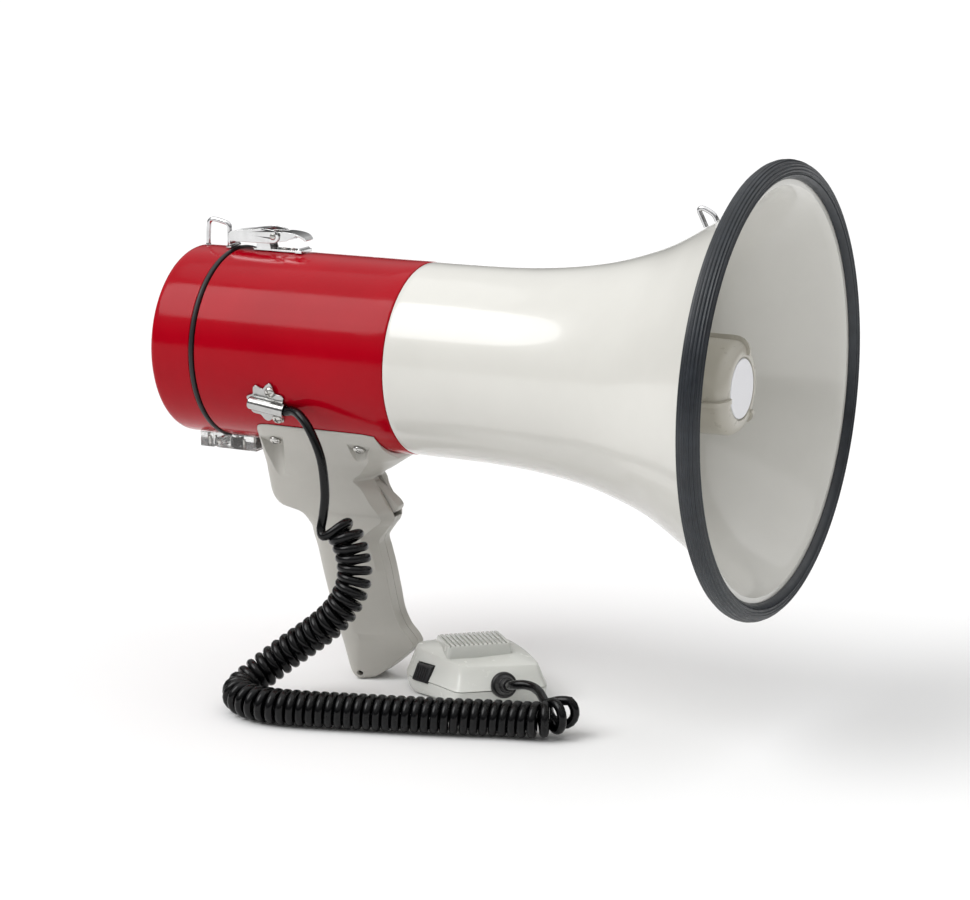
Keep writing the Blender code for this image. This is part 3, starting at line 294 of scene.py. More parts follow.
def side_plate(outline, y0, y1):
    return extruded([(x, y0, z) for x, z in outline], (0, y1 - y0, 0))


def lofted(rings):
    bm = bmesh.new()
    loops = [[bm.verts.new(p) for p in ring] for ring in rings]
    n = len(loops[0])
    for a, b in zip(loops, loops[1:]):
        for i in range(n):
            bm.faces.new((a[i], a[(i + 1) % n], b[(i + 1) % n], b[i]))
    bm.faces.new(loops[0])
    bm.faces.new(list(reversed(loops[-1])))
    return bm


def smooth_through(points, t):
    xs = [p[0] for p in points]
    rising = xs[-1] > xs[0]
    i = 0
    while i < len(points) - 2 and ((t > xs[i + 1]) if rising else (t < xs[i + 1])):
        i += 1
    a, b = points[i], points[i + 1]
    before = points[i - 1] if i else a
    after = points[i + 2] if i + 2 < len(points) else b
    h = b[0] - a[0]
    u = (t - a[0]) / h
    out = []
    for k in range(1, len(a)):
        ma = (b[k] - before[k]) / (b[0] - before[0]) if before is not a else (b[k] - a[k]) / h
        mb = (after[k] - a[k]) / (after[0] - a[0]) if after is not b else (b[k] - a[k]) / h
        out.append((2 * u**3 - 3 * u**2 + 1) * a[k] + (u**3 - 2 * u**2 + u) * h * ma + (3 * u**2 - 2 * u**3) * b[k] + (u**3 - u**2) * h * mb)
    return out


def catmull(points, spacing):
    route = [Vector(p) for p in points]
    route = [2 * route[0] - route[1]] + route + [2 * route[-1] - route[-2]]
    fine = []
    for p0, p1, p2, p3 in zip(route, route[1:], route[2:], route[3:]):
        for k in range(40):
            t = k / 40
            fine.append(0.5 * (2 * p1 + (p2 - p0) * t + (2 * p0 - 5 * p1 + 4 * p2 - p3) * t**2 + (3 * p1 - p0 - 3 * p2 + p3) * t**3))
    fine.append(route[-2])
    return respaced(fine, spacing)


def respaced(fine, spacing):
    total = sum((b - a).length for a, b in zip(fine, fine[1:]))
    count = max(2, round(total / spacing))
    step, out, run, want = total / count, [fine[0]], 0.0, total / count
    for a, b in zip(fine, fine[1:]):
        d = (b - a).length
        while run + d >= want - 1e-6 and len(out) < count:
            out.append(a.lerp(b, (want - run) / d))
            want += step
        run += d
    out.append(fine[-1])
    return out


def softened(points, passes, first=0, last=None):
    out = [p.copy() for p in points]
    last = len(out) - 1 if last is None else last
    for _ in range(passes):
        new = [p.copy() for p in out]
        for i in range(max(1, first), min(len(out) - 1, last)):
            new[i] = (out[i - 1] + 2 * out[i] + out[i + 1]) / 4
        out = new
    return out


def wire(name, points, radius, mat, resolution=6):
    curve = bpy.data.curves.new(name, "CURVE")
    curve.dimensions = "3D"
    curve.bevel_depth = radius * MM
    curve.bevel_resolution = resolution
    curve.use_fill_caps = True
    curve.twist_mode = "MINIMUM"
    spline = curve.splines.new("POLY")
    spline.points.add(len(points) - 1)
    for point, p in zip(spline.points, points):
        point.co = (*W(*p), 1.0)
    curve.materials.append(mat)
    obj = bpy.data.objects.new(name, curve)
    bpy.context.scene.collection.objects.link(obj)
    return obj


def place(obj, body, slot, *nodes):
    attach(obj, body)
    if nodes:
        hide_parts(*nodes)
    return obj


# ------------------------------------------------------------------ cord
CLAMP_X, CLAMP_A, R_CLAMP, CHANNEL = -270.3, math.radians(-26.9), TUBE_R + GAP, 2.7
CORD_D, COIL_R = 4.9, 7.0


def on_tube(x, s, t):
    a = CLAMP_A + s / TUBE_R
    r = R_CLAMP + t
    return Vector((CLAMP_X + x, -r * math.cos(a), r * math.sin(a)))


def band(x):
    """The cord's line through the clamp, a little across the tube's own line."""
    return on_tube(x, 2.6 - 0.155 * (x + 8.0), CHANNEL)


MIC_TURN = math.radians(40)
MIC_A = Vector((math.cos(MIC_TURN), math.sin(MIC_TURN), 0))
MIC_B = Vector((-math.sin(MIC_TURN), math.cos(MIC_TURN), 0))
MIC_O = MIC_A * -124.0 + MIC_B * 77.0 + Vector((0, 0, -AXIS_HEIGHT))


def mic(u, v, h):
    return MIC_O + MIC_A * u + MIC_B * v + Vector((0, 0, h))


BOOT_DIR = (MIC_B * -math.cos(math.radians(16)) + Vector((0, 0, math.sin(math.radians(16))))).normalized()
BOOT_AT = mic(0.0, 0.9, 11.6)
BOOT_END = BOOT_AT + BOOT_DIR * 13.0

CORD_EXIT = band(11.9)
LEAD = [tuple(band(-2.0)), tuple(CORD_EXIT), (-254.2, -48.4, -24.2), (-247.6, -51.6, -25.6), (-240.4, -53.6, -32.6), (-234.4, -53.4, -46.6),
        (-232.8, -52.4, -63.7), (-234.2, -51.8, -76.5), (-235.0, -53.4, -85.0), (-232.4, -56.2, -92.0)]
COIL = [(-227.2, -49.0, -82.4), (-224.2, -48.5, -85.4), (-221.8, -48.1, -89.2), (-220.2, -47.9, -94.2), (-218.6, -47.8, -100.0), (-217.6, -48.0, -106.6),
        (-218.6, -49.2, -114.6), (-222.4, -51.4, -124.0), (-229.6, -54.2, -133.4), (-240.4, -57.6, -142.6), (-250.2, -61.8, -150.4), (-258.0, -67.0, -157.2),
        (-264.6, -74.8, -163.8), (-267.2, -83.6, FLOOR + 9.6), (-262.4, -92.0, FLOOR + 9.4), (-253.4, -97.2, FLOOR + 9.4), (-241.0, -99.0, FLOOR + 9.4),
        (-223.9, -95.8, FLOOR + 9.4), (-198.6, -88.3, FLOOR + 9.4), (-173.5, -80.6, FLOOR + 9.4), (-149.3, -72.6, FLOOR + 9.4), (-125.2, -63.8, FLOOR + 9.4),
        (-111.5, -60.4, FLOOR + 9.5), (-102.8, -58.4, FLOOR + 10.2), (-97.4, -54.2, FLOOR + 11.8), (-96.8, -48.2, FLOOR + 13.2), (-99.8, -42.4, FLOOR + 14.2)]
TAIL = [tuple(BOOT_END + BOOT_DIR * -6.0), tuple(BOOT_END + BOOT_DIR * 3.0), (-130.8, -34.4, FLOOR + 17.8), (-125.0, -34.6, FLOOR + 18.6),
        (-118.4, -36.8, FLOOR + 18.2), (-111.4, -43.4, FLOOR + 17.0), (-106.6, -49.4, FLOOR + 14.4)]


def helix(axis_points, start_turn, end_up):
    """Turns of even gap round a smooth axis. The pitch opens a little where the axis bends."""
    axis = softened(catmull(axis_points, 1.0), 30)
    axis[0], axis[-1] = Vector(axis_points[0]), Vector(axis_points[-1])
    tangents = [(axis[min(i + 1, len(axis) - 1)] - axis[max(i - 1, 0)]).normalized() for i in range(len(axis))]
    normal = Vector((0, -1, 0))
    normal = (normal - tangents[0] * normal.dot(tangents[0])).normalized()
    normals = [normal]
    for t in tangents[1:]:
        normal = (normal - t * normal.dot(t)).normalized()
        normals.append(normal)
    lengths = [0.0]
    for a, b in zip(axis, axis[1:]):
        lengths.append(lengths[-1] + (b - a).length)
    whole = lengths[-1]
    turns, phase = 0.0, []
    for i, s in enumerate(lengths):
        phase.append(turns)
        if i + 1 < len(lengths):
            bend = (tangents[i + 1] - tangents[i]).length / max(lengths[i + 1] - s, 1e-6)
            hanging = max(0.0, min(1.0, (130.0 - s) / 50.0))
            first = max(0.0, 1.0 - s / 18.0)
            pitch = 4.98 + 0.25 * hanging + 1.2 * first + min(0.8, 14.0 * bend)
            turns += (lengths[i + 1] - s) / pitch
    target = round(turns - start_turn) + start_turn + end_up
    phase = [p * target / turns for p in phase]
    out = []
    per_turn = 18
    count = int(target * per_turn)
    j = 0
    for k in range(count + 1):
        want = k / count * target
        while j < len(phase) - 2 and phase[j + 1] < want:
            j += 1
        u = (want - phase[j]) / max(phase[j + 1] - phase[j], 1e-9)
        c = axis[j].lerp(axis[j + 1], u)
        t = tangents[j].lerp(tangents[j + 1], u).normalized()
        nn = normals[j].lerp(normals[j + 1], u)
        nn = (nn - t * nn.dot(t)).normalized()
        b = t.cross(nn)
        a = -2 * math.pi * want
        out.append(c + (nn * math.cos(a) + b * math.sin(a)) * COIL_R)
    return out, target


end_normal_turn = 0.0
coil_points, turn_count = helix(COIL, 0.0, 0.0)
# turn the end of the run so that its last point is the one nearest the tail
tail_in = Vector(TAIL[-1])
cutoff = min(range(len(coil_points) - 18, len(coil_points)), key=lambda i: (coil_points[i] - (tail_in + Vector((2.5, -1.5, -0.5)))).length)
coil_points = coil_points[:cutoff + 1]
lead_points = catmull(LEAD, 1.5)
tail_points = list(reversed(catmull(TAIL, 1.5)))
route = lead_points + coil_points[1:] + tail_points
a0, a1 = len(lead_points) - 3, len(lead_points) + 4
route = softened(route, 10, a0 - 3, a1 + 4)
b0 = len(lead_points) + len(coil_points) - 1
route = softened(route, 12, b0 - 6, b0 + 7)
cord = wire("curly_cord", route, CORD_D / 2, CORD, 5)
place(cord, "megaphone", "cord_jacket", "cord_lead", "cord_coil", "cord_tail")

# ------------------------------------------------------------------ horn
HORN = [(-199.2, 50.7), (-175, 50.8), (-150, 51.3), (-125, 53.2), (-100, 57.0), (-80, 62.3), (-60, 69.9), (-40, 81.1), (-25, 90.7), (-12, 99.4), (-7, 103.2)]
WALL = 2.4


def horn_outside(x):
    return smooth_through(HORN, x)[0]


outer = [(-199.25, 50.2), (-199.15, 50.55), (-198.8, 50.72)] + [(x, horn_outside(x)) for x in [-196 + 3 * k for k in range(64)] if x < -7.5] + [(-7.0, horn_outside(-7.0))]
inner = []
for x, r in reversed(outer[3:]):
    slope = (horn_outside(min(x + 1, -7)) - horn_outside(x - 1)) / (min(x + 1, -7) - (x - 1))
    n = math.hypot(slope, 1)
    inner.append((x + WALL * slope / n, r - WALL / n))


def horn_inside(x):
    pts = sorted(inner)
    for (xa, ra), (xb, rb) in zip(pts, pts[1:]):
        if xa <= x <= xb:
            return ra + (rb - ra) * (x - xa) / (xb - xa)
    return pts[0][1] if x < pts[0][0] else pts[-1][1]


bell = [(-205.0, 45.7), (-205.0, 48.1), (-199.25, 48.1)] + outer + [(-7.0, 109.0), (-4.6, 109.0), (-4.6, inner[0][1] + 1.3)] + inner + [(-197, 45.7)]
bell = finish_mesh("bell_fine", turned(bell, 200), HORN_PAINT, 35)
place(bell, "megaphone", "horn_paint", "horn_bell")

rim = []
steps = 230
for k in range(steps + 1):
    deg = -74.5 + k * 329.0 / steps
    t = math.radians(deg)
    ridge = 0.0
    if -30 <= deg <= 205:
        ridge = 0.5 - 0.5 * math.cos(2 * math.pi * (deg + 30) / 235 * 13)
        ridge = 0.52 * (1 - ridge ** 2)
    rim.append((-5.8 + (5.78 - ridge) * math.cos(t), 110.0 + (5.0 - ridge) * math.sin(t)))
rim += [(-7.34, 109.3), (-4.26, 109.3)]
ring = finish_mesh("rim_fine", turned(rim, 220), RIM_RUBBER, 50)
place(ring, "megaphone", "rim_rubber", "horn_rim_ring")

# reflector cup with its ribs
CUP_R, CUP_FRONT, LABEL_R = 24.0, -22.5, 15.25
cup = [(CUP_FRONT - 0.3, 15.9), (CUP_FRONT, 16.2), (CUP_FRONT, 17.2)]
cup += [(CUP_FRONT - 7.0 + 7.0 * math.cos(a), CUP_R - 7.0 + 7.0 * math.sin(a)) for a in (math.radians(6 * k) for k in range(1, 16))]
cup += [(-50, 24.2), (-72, 24.6), (-95, 25.2), (-108, 26.4), (-120, 28), (-120, 26.2), (-95, 23.2), (-32, 21.8), (-27, 18.5), (-25.6, 10), (-25.6, 0),
        (-23.6, 0), (-23.6, 15.9)]
reflector = finish_mesh("cup_fine", turned(cup, 120), CUP, 35)
rib = [(-22.1, 16.9), (-21.2, 17.2), (-20.9, 18.0), (-21.4, 20.5), (-22.8, 23.0), (-25.0, 25.2), (-27.6, 26.3), (-31, 26.6), (-66, 26.8), (-70, 27.8), (-74, 31.0)]
rib += [(x, horn_inside(x) - 0.3) for x in (-86, -92, -98, -105, -112)]
rib += [(-119.5, 40.0), (-119.5, 27.2), (-95, 24.2), (-31, 23.0), (-25.6, 20.0)]
for k in range(3):
    a = math.radians(70 + 120 * k)
    out, across = Vector((0, math.cos(a), math.sin(a))), Vector((0, -math.sin(a), math.cos(a)))
    join(reflector, extruded([Vector((x, 0, 0)) + out * r - across * 1.1 for x, r in rib], across * 2.2), smooth=35)
place(reflector, "megaphone", "cup_plastic", "reflector_cup")
disc = [(-23.4, 0), (-23.4, LABEL_R - 0.4), (-23.2, LABEL_R), (-22.9, LABEL_R), (-22.6, LABEL_R - 0.35), (-22.62, LABEL_R - 1.2), (-22.7, 0)]
place(finish_mesh("disc_fine", turned(disc, 96), LABEL, 30), "megaphone", "label_disc", "cup_label_disc")
tone = [(-159.9, 10), (-159.9, 20), (-156, 20), (-154, 14), (-132, 14.3), (-110, 15), (-80, 16.6), (-44.6, 18.6), (-44, 18.2), (-44, 17.4), (-110, 13.2), (-154, 10)]
place(finish_mesh("tone_fine", turned(tone, 80), CUP, 35), "megaphone", "cup_plastic", "tone_tube")

# ------------------------------------------------------------------ battery tube, gasket, rear cover
tube = [(X_SEAL + 1.6, 48.4), (X_SEAL + 1.6, TUBE_R - 0.4), (X_SEAL + 2.0, TUBE_R)] + [(x, TUBE_R) for x in (-300, -285, -270, -255, -240, -225, -210)]
tube += [(-200.4, TUBE_R), (-199.9, TUBE_R - 0.1), (-199.6, TUBE_R - 0.4), (-199.5, TUBE_R - 0.8), (-199.5, 48.4)]
place(finish_mesh("tube_fine", turned(tube, 180), TUBE_PAINT, 35), "megaphone", "tube_paint", "body_tube")
seal = [(X_SEAL + 1.25 * math.cos(a), 51.0 + 1.05 * math.sin(a)) for a in (math.radians(-30 + 15 * k) for k in range(17))]
seal = [(X_SEAL + 1.25, 48.6)] + seal[2:-2] + [(X_SEAL - 1.25, 48.6)]
place(finish_mesh("gasket_fine", turned(seal, 180), GASKET, 45), "megaphone", "gasket_rubber", "cover_gasket")

cover = [(X_SEAL - 1.6, 48.4), (X_SEAL - 1.6, TUBE_R - 0.4), (X_SEAL - 2.0, TUBE_R), (-322, TUBE_R), (-330, TUBE_R), (-336.6, TUBE_R)]
cover += [(X_REAR + 3.4 - 3.4 * math.sin(a), TUBE_R - 3.4 + 3.4 * math.cos(a)) for a in (math.radians(15 * k) for k in range(1, 7))]
cover += [(X_REAR, 45.6), (X_REAR + 0.25, 45.0), (X_REAR + 0.9, 44.6), (-334, 43.6), (-332.8, 43.2), (-332.4, 42.6), (-332.4, 30), (-332.4, 0), (-330.0, 0), (-330.0, 48.4)]
KNOB_Z, BUTTON_Z = 15.0, -17.0
rear = finish_mesh("cover_fine", turned(cover, 180), TUBE_PAINT, 35)
cut(rear, rod((-336, 0, KNOB_Z), (-326, 0, KNOB_Z), 3.6, seg=40), rod((-336, 0, BUTTON_Z), (-326, 0, BUTTON_Z), 5.6, seg=48))
place(rear, "rear_cover", "tube_paint", "rear_cover")

# black control plate on the recessed panel, with a dial's ticks
plate = finish_mesh("control_plate", turned([(-332.9, 0), (-332.9, 36.4), (-332.75, 36.8), (-332.45, 36.8), (-332.45, 0)], 96), BLACK_PLASTIC, 30)
cut(plate, rod((-336, 0, KNOB_Z), (-326, 0, KNOB_Z), 3.7, seg=40), rod((-336, 0, BUTTON_Z), (-326, 0, BUTTON_Z), 5.8, seg=48))
place(plate, "rear_cover", "black_plastic")
ticks = bmesh.new()
for k in range(11):
    a = math.radians(225 - 27 * k)
    grow = 1.4 if k in (0, 5, 10) else 1.0
    c, s = math.cos(a), math.sin(a)
    r0, r1, half = 13.6, 13.6 + 2.2 * grow, 0.28 * grow
    quad = [ticks.verts.new((x, r * c - w * s, KNOB_Z + r * s + w * c)) for x in (-333.05, -332.92) for r, w in ((r0, -half), (r1, -half), (r1, half), (r0, half))]
    for f in ((0, 1, 2, 3), (7, 6, 5, 4), (0, 4, 5, 1), (1, 5, 6, 2), (2, 6, 7, 3), (3, 7, 4, 0)):
        ticks.faces.new([quad[i] for i in f])
place(finish_mesh("dial_ticks", ticks, MARK, 30), "rear_cover", "black_plastic")
bezel = finish_mesh("button_bezel", pole((-333.6, 0, BUTTON_Z), (-330, 0, BUTTON_Z), [(0.0, 6.0), (0.0, 7.2), (0.35, 7.7), (0.66, 7.8), (0.66, 6.0)], 56), SATIN, 30)
place(bezel, "rear_cover", "switch_metal")

knob = finish_mesh("knob_fine", turned([(-340.2, 0), (-340.2, 9.2), (-339.9, 9.8), (-339.2, 10.6), (-336, 11.2), (-333.9, 11.5), (-333.4, 11.3), (-333.4, 0)], 96, (0, KNOB_Z)), BLACK_PLASTIC, 30)
join(knob, rod((-334, 0, KNOB_Z), (-327.4, 0, KNOB_Z), 3.2, seg=32))
for k in range(18):
    a = math.radians(20 * k + 10)
    cut(knob, rod((-341, 11.6 * math.cos(a), KNOB_Z + 11.6 * math.sin(a)), (-334.4, 12.4 * math.cos(a), KNOB_Z + 12.4 * math.sin(a)), 1.0, seg=12))
place(knob, "volume_knob", "black_plastic", "volume_knob")
# the line starts at the dial's last tick, so that the knob's three quarters of a turn runs it over every tick to the first
pointer = [(-340.5, r * -0.7071 + w * 0.7071, KNOB_Z + r * -0.7071 - w * 0.7071) for r, w in ((3.4, -0.4), (9.0, -0.4), (9.0, 0.4), (3.4, 0.4))]
place(finish_mesh("knob_line", extruded(pointer, (0.35, 0, 0)), MARK, 30), "volume_knob", "black_plastic")
button = finish_mesh("siren_fine", turned([(-337.1, 0), (-337.3, 2.0), (-337.4, 3.8), (-337.2, 4.5), (-336.6, 5.1), (-328.2, 5.2), (-328.2, 0)], 64, (0, BUTTON_Z)), BLACK_PLASTIC, 30)
place(button, "siren_button", "black_plastic", "siren_button")

# ------------------------------------------------------------------ draw latch
base = finish_mesh("latch_base_fine", slab((-303, -4.0, 51.2), (-272.5, 4.0, 52.2)), CHROME, 30)
ear = [(-301.2, 51.6), (-301, LEVER_Z)] + [(LEVER_X - 3.2 * math.cos(a), LEVER_Z + 2.2 * math.sin(a)) for a in (math.radians(15 + 15 * k) for k in range(11))]
ear += [(-294, LEVER_Z), (-292, 51.6)]
join(base, side_plate(ear, -4.0, -3.0), side_plate(ear, 3.0, 4.0), slab((-276.5, -5.6, 51.2), (-272.5, 5.6, 52.7)))
join(base, pole((-274.4, -5.4, 52.7), (-274.4, 5.4, 52.7), [(0, 0), (0, 0.7), (0.2, 0.95), (10.6, 0.95), (10.8, 0.7), (10.8, 0)], 24))
cut(base, rod((LEVER_X, -6, LEVER_Z), (LEVER_X, 6, LEVER_Z), 1.25, seg=24))
place(base, "megaphone", "latch_chrome", "latch_base")
for tag, x in (("rear", -286.5), ("front", -281.0)):
    head = pole((x, 0, 52.2), (x, 0, 53.6), [(0.0, 0), (0.0, 1.7), (0.3, 1.7), (0.75, 1.1), (0.9, 0)], 32)
    place(finish_mesh("latch_rivet_" + tag, head, SCREW, 30), "megaphone", "screw_steel")
lever_pin = pole((LEVER_X, -5.3, LEVER_Z), (LEVER_X, 5.3, LEVER_Z), [(0, 0), (0, 0.7), (0.25, 0.95), (10.35, 0.95), (10.6, 0.7), (10.6, 0)], 24)
place(finish_mesh("lever_pin_fine", lever_pin, SCREW, 30), "megaphone", "latch_chrome", "latch_lever_pin")

flange = [(-300.0, 57.2), (-299.9, 59.6), (-299.4, 60.7), (-297.5, 61.2), (-291, 61.6), (-282, 61.9), (-278.0, 61.5), (-275.5, 61.1), (-275.6, 60.7), (-278.6, 59.0),
          (-281.7, 57.3), (-286, 56.5), (-292, 56.3), (-297.5, 56.4), (-299.4, 56.6)]
lever = finish_mesh("lever_fine", side_plate(flange, -5.2, -4.3), CHROME, 30)
top = [(-284.6, 61.0), (-284.6, 61.9), (-282, 61.95), (-279, 61.75), (-276.0, 61.3), (-273.8, 60.7), (-272.2, 59.9), (-271.1, 59.1), (-270.4, 58.2), (-270.7, 57.7), (-271.2, 57.6),
       (-271.9, 58.3), (-272.8, 59.0), (-274.4, 59.7), (-276.3, 60.3), (-279, 60.7), (-282, 60.9)]
join(lever, side_plate(top, -5.2, 5.2), side_plate(flange, 4.3, 5.2))
cut(lever, rod((LEVER_X, -8, LEVER_Z), (LEVER_X, 8, LEVER_Z), 1.25, seg=24), rod((CLAW_X, -8, CLAW_Z), (CLAW_X, 8, CLAW_Z), 1.25, seg=24))
# the tab's rounded corners
for side in (-1, 1):
    cut(lever, extruded([(-269, side * 6, 55), (-269, side * 2.6, 55), (-270.8, side * 3.8, 55), (-272.6, side * 4.7, 55), (-275.4, side * 5.3, 55), (-275.4, side * 6, 55)], (0, 0, 8)))
place(bevelled(lever, 0.18, 2), "latch_lever", "latch_chrome", "latch_lever")
rivet = pole((CLAW_X, -7.2, CLAW_Z), (CLAW_X, 7.2, CLAW_Z), [(0, 0), (0, 1.1), (0.3, 1.7), (0.6, 1.8), (0.65, 0.95), (13.75, 0.95), (13.8, 1.8), (14.1, 1.7), (14.4, 1.1), (14.4, 0)], 32)
place(finish_mesh("claw_rivet_fine", rivet, SCREW, 30), "latch_lever", "latch_chrome", "latch_claw_rivet")

side = [(-317.3, 55.8), (-317.3, 60.0), (-316.6, 60.5), (-315, 60.8), (-306, 62.0), (-298.5, 63.1), (-295, 63.3), (-291.5, 63.1)]
side += [(CLAW_X + 3.4 * math.cos(a), CLAW_Z + 3.4 * math.sin(a)) for a in (math.radians(75 - 15 * k) for k in range(12))]
side += [(-292.5, 55.6), (-310, 55.3), (-316.6, 55.4)]
claw = finish_mesh("claw_fine", side_plate(side, -6.5, -5.6), CHROME, 30)
roof = [(-317.3, 53.5), (-317.3, 60.0), (-316.6, 60.5), (-315, 60.8), (-306, 62.0), (-298.5, 63.1), (-297.5, 63.2), (-297.5, 62.2), (-306, 61.0), (-314.8, 59.8), (-315.9, 59.5), (-316.3, 59.0), (-316.3, 53.5)]
join(claw, side_plate(roof, -6.5, 6.5), side_plate(side, 5.6, 6.5))
cut(claw, rod((CLAW_X, -9, CLAW_Z), (CLAW_X, 9, CLAW_Z), 1.25, seg=24))
place(bevelled(claw, 0.18, 2), "latch_claw", "latch_chrome", "latch_claw")
keeper = [(-319.8, 51.2), (-319.8, 52.0), (-318.8, 52.3), (-318.3, 52.8), (-317.6, 53.05), (-316.9, 52.95), (-316.5, 52.4), (-316.4, 51.2)]
place(bevelled(finish_mesh("keeper_fine", side_plate(keeper, -5.2, 5.2), CHROME, 30), 0.12, 2), "rear_cover", "latch_chrome", "latch_keeper")

# ------------------------------------------------------------------ clear hinge
front_leaf = finish_mesh("hinge_front_fine", slab((-316.9, -15, -57.1), (-297.0, 15, -44)), CLEAR, 30)
for y0, y1 in ((-15, -5.2), (5.2, 15)):
    join(front_leaf, rod((HINGE_X, y0, HINGE_Z), (HINGE_X, y1, HINGE_Z), 2.9, seg=40), slab((HINGE_X, y0, -57.1), (-316.0, y1, -51.3)))
cut(front_leaf, rod((-350, 0, 0), (-280, 0, 0), TUBE_R + GAP, seg=180), rod((-316.2, 0, 0), (-312.2, 0, 0), 52.3, seg=180), rod((HINGE_X, -16, HINGE_Z), (HINGE_X, 16, HINGE_Z), 1.5, seg=28))
cut(front_leaf, side_plate([(-301.2, -58), (-301.2, -56.3), (-300.4, -56.3), (-300.4, -58)], -16, 16))
place(front_leaf, "megaphone", "clear_plastic", "hinge_leaf_front")
rear_leaf = finish_mesh("hinge_rear_fine", slab((-332.2, -15, -57.1), (-324.0, 15, -44)), CLEAR, 30)
join(rear_leaf, rod((HINGE_X, -4.9, HINGE_Z), (HINGE_X, 4.9, HINGE_Z), 2.9, seg=40), slab((-325.0, -4.9, -57.1), (HINGE_X, 4.9, -51.3)))
cut(rear_leaf, rod((-350, 0, 0), (-280, 0, 0), TUBE_R + GAP, seg=180), rod((HINGE_X, -16, HINGE_Z), (HINGE_X, 16, HINGE_Z), 1.5, seg=28))
place(rear_leaf, "rear_cover", "clear_plastic", "hinge_leaf_rear")
pin = pole((HINGE_X, -14.8, HINGE_Z), (HINGE_X, 14.8, HINGE_Z), [(0, 0), (0, 0.85), (0.3, 1.15), (29.3, 1.15), (29.6, 0.85), (29.6, 0)], 28)
place(finish_mesh("hinge_pin_fine", pin, SCREW, 30), "megaphone", "screw_steel", "hinge_pin")
for x, body in ((-306.6, "megaphone"), (-328.2, "rear_cover")):
    for y in (-9.5, 9.5):
        tag = ("f" if body == "megaphone" else "r") + ("n" if y < 0 else "p")
        place(finish_mesh("hinge_screw_" + tag, pole((x, y, -58.2), (x, y, -50.4), [(0, 0), (0, 1.6), (0.5, 2.3), (1.1, 2.4), (1.1, 1.0), (6.2, 1.0), (6.4, 0)], 28), SCREW, 30), body, "screw_steel")

# ------------------------------------------------------------------ strap loops
rear_loop = [(-334.9, 1.5, 51.3), (-334.7, 1.5, 57), (-334.2, 1.5, 62.8), (-333.3, 1.5, 64.6), (-331.4, 1.5, 65.2), (-328, 1.5, 64.8), (-323.6, 1.5, 63.8),
             (-321.9, 1.5, 62.8), (-321.3, 1.5, 61.0), (-321.3, 1.5, 56), (-321.3, 1.5, 51.3)]
place(wire("rear_loop_fine", catmull(rear_loop, 0.8), 1.3, WIRE, 5), "rear_cover", "wire_steel", "rear_strap_loop")
front_loop = [(-43.4, 0, 79.9), (-45.6, 0, 84.2), (-47.2, 0, 87.4), (-46.9, 0, 88.6), (-45.4, 0, 89.0), (-42.2, 0, 87.8), (-39.4, 0, 86.0), (-37.6, 0, 84.3)]
for i in (0, 7):
    front_loop[i] = (front_loop[i][0], 0, horn_outside(front_loop[i][0]) + 0.6)
place(wire("front_loop_fine", catmull(front_loop, 0.7), 1.3, WIRE, 5), "megaphone", "wire_steel", "front_strap_loop")
for tag, x, body, r in (("rear_a", -334.9, "rear_cover", 51.0), ("rear_b", -321.3, "rear_cover", 51.0)):
    foot = pole((x, 1.5, r - 0.1), (x, 1.5, r + 1.2), [(0, 0), (0, 1.5), (0.35, 1.5), (0.8, 1.45), (1.0, 1.4), (1.0, 0)], 32)
    place(finish_mesh("loop_foot_" + tag, foot, WIRE, 30), body, "wire_steel")

# ------------------------------------------------------------------ cord clamp
bm = bmesh.new()
N = 160
flower = []
for k in range(N):
    a = 2 * math.pi * k / N
    rho = 10.9 + 1.3 * math.cos(8 * (a - math.radians(27)))
    for lobe, more in ((72, 1.3), (297, 0.9)):
        rho += more * math.exp(-((math.degrees(a) - lobe) / 14.0) ** 2)
    flower.append((rho * math.cos(a), 0.8 + rho * math.sin(a)))


def clamp_ring(scale, t):
    return [bm.verts.new(on_tube(x * scale, 0.8 + (s - 0.8) * scale, t)) for x, s in flower]


rings = [clamp_ring(0.5, 0.0), clamp_ring(1.0, 0.0), clamp_ring(1.0, 0.75), clamp_ring(0.985, 1.0), clamp_ring(0.95, 1.12), clamp_ring(0.5, 1.12)]
for lower_ring, upper_ring in zip(rings, rings[1:]):
    for k in range(N):
        j = (k + 1) % N
        bm.faces.new((lower_ring[k], lower_ring[j], upper_ring[j], upper_ring[k]))
mids = [bm.verts.new(on_tube(0, 0.8, 0.0)), bm.verts.new(on_tube(0, 0.8, 1.12))]
for k in range(N):
    j = (k + 1) % N
    bm.faces.new((mids[0], rings[0][j], rings[0][k]))
    bm.faces.new((mids[1], rings[-1][k], rings[-1][j]))
clamp = finish_mesh("clamp_fine", bm, CLAMP, 35)
join(clamp, pole(band(-9.6), band(11.6), [(0, 0), (0, 2.4), (0.5, 3.2), (1.4, 3.6), (20.2, 3.6), (20.8, 3.9), (21.2, 3.9), (21.2, 0)], 40))
cut(clamp, rod((CLAMP_X - 30, 0, 0), (CLAMP_X + 30, 0, 0), R_CLAMP, seg=240), rod(band(-3), band(13), CORD_D / 2 + 0.35, seg=36))
place(clamp, "megaphone", "clamp_metal", "cord_clamp")


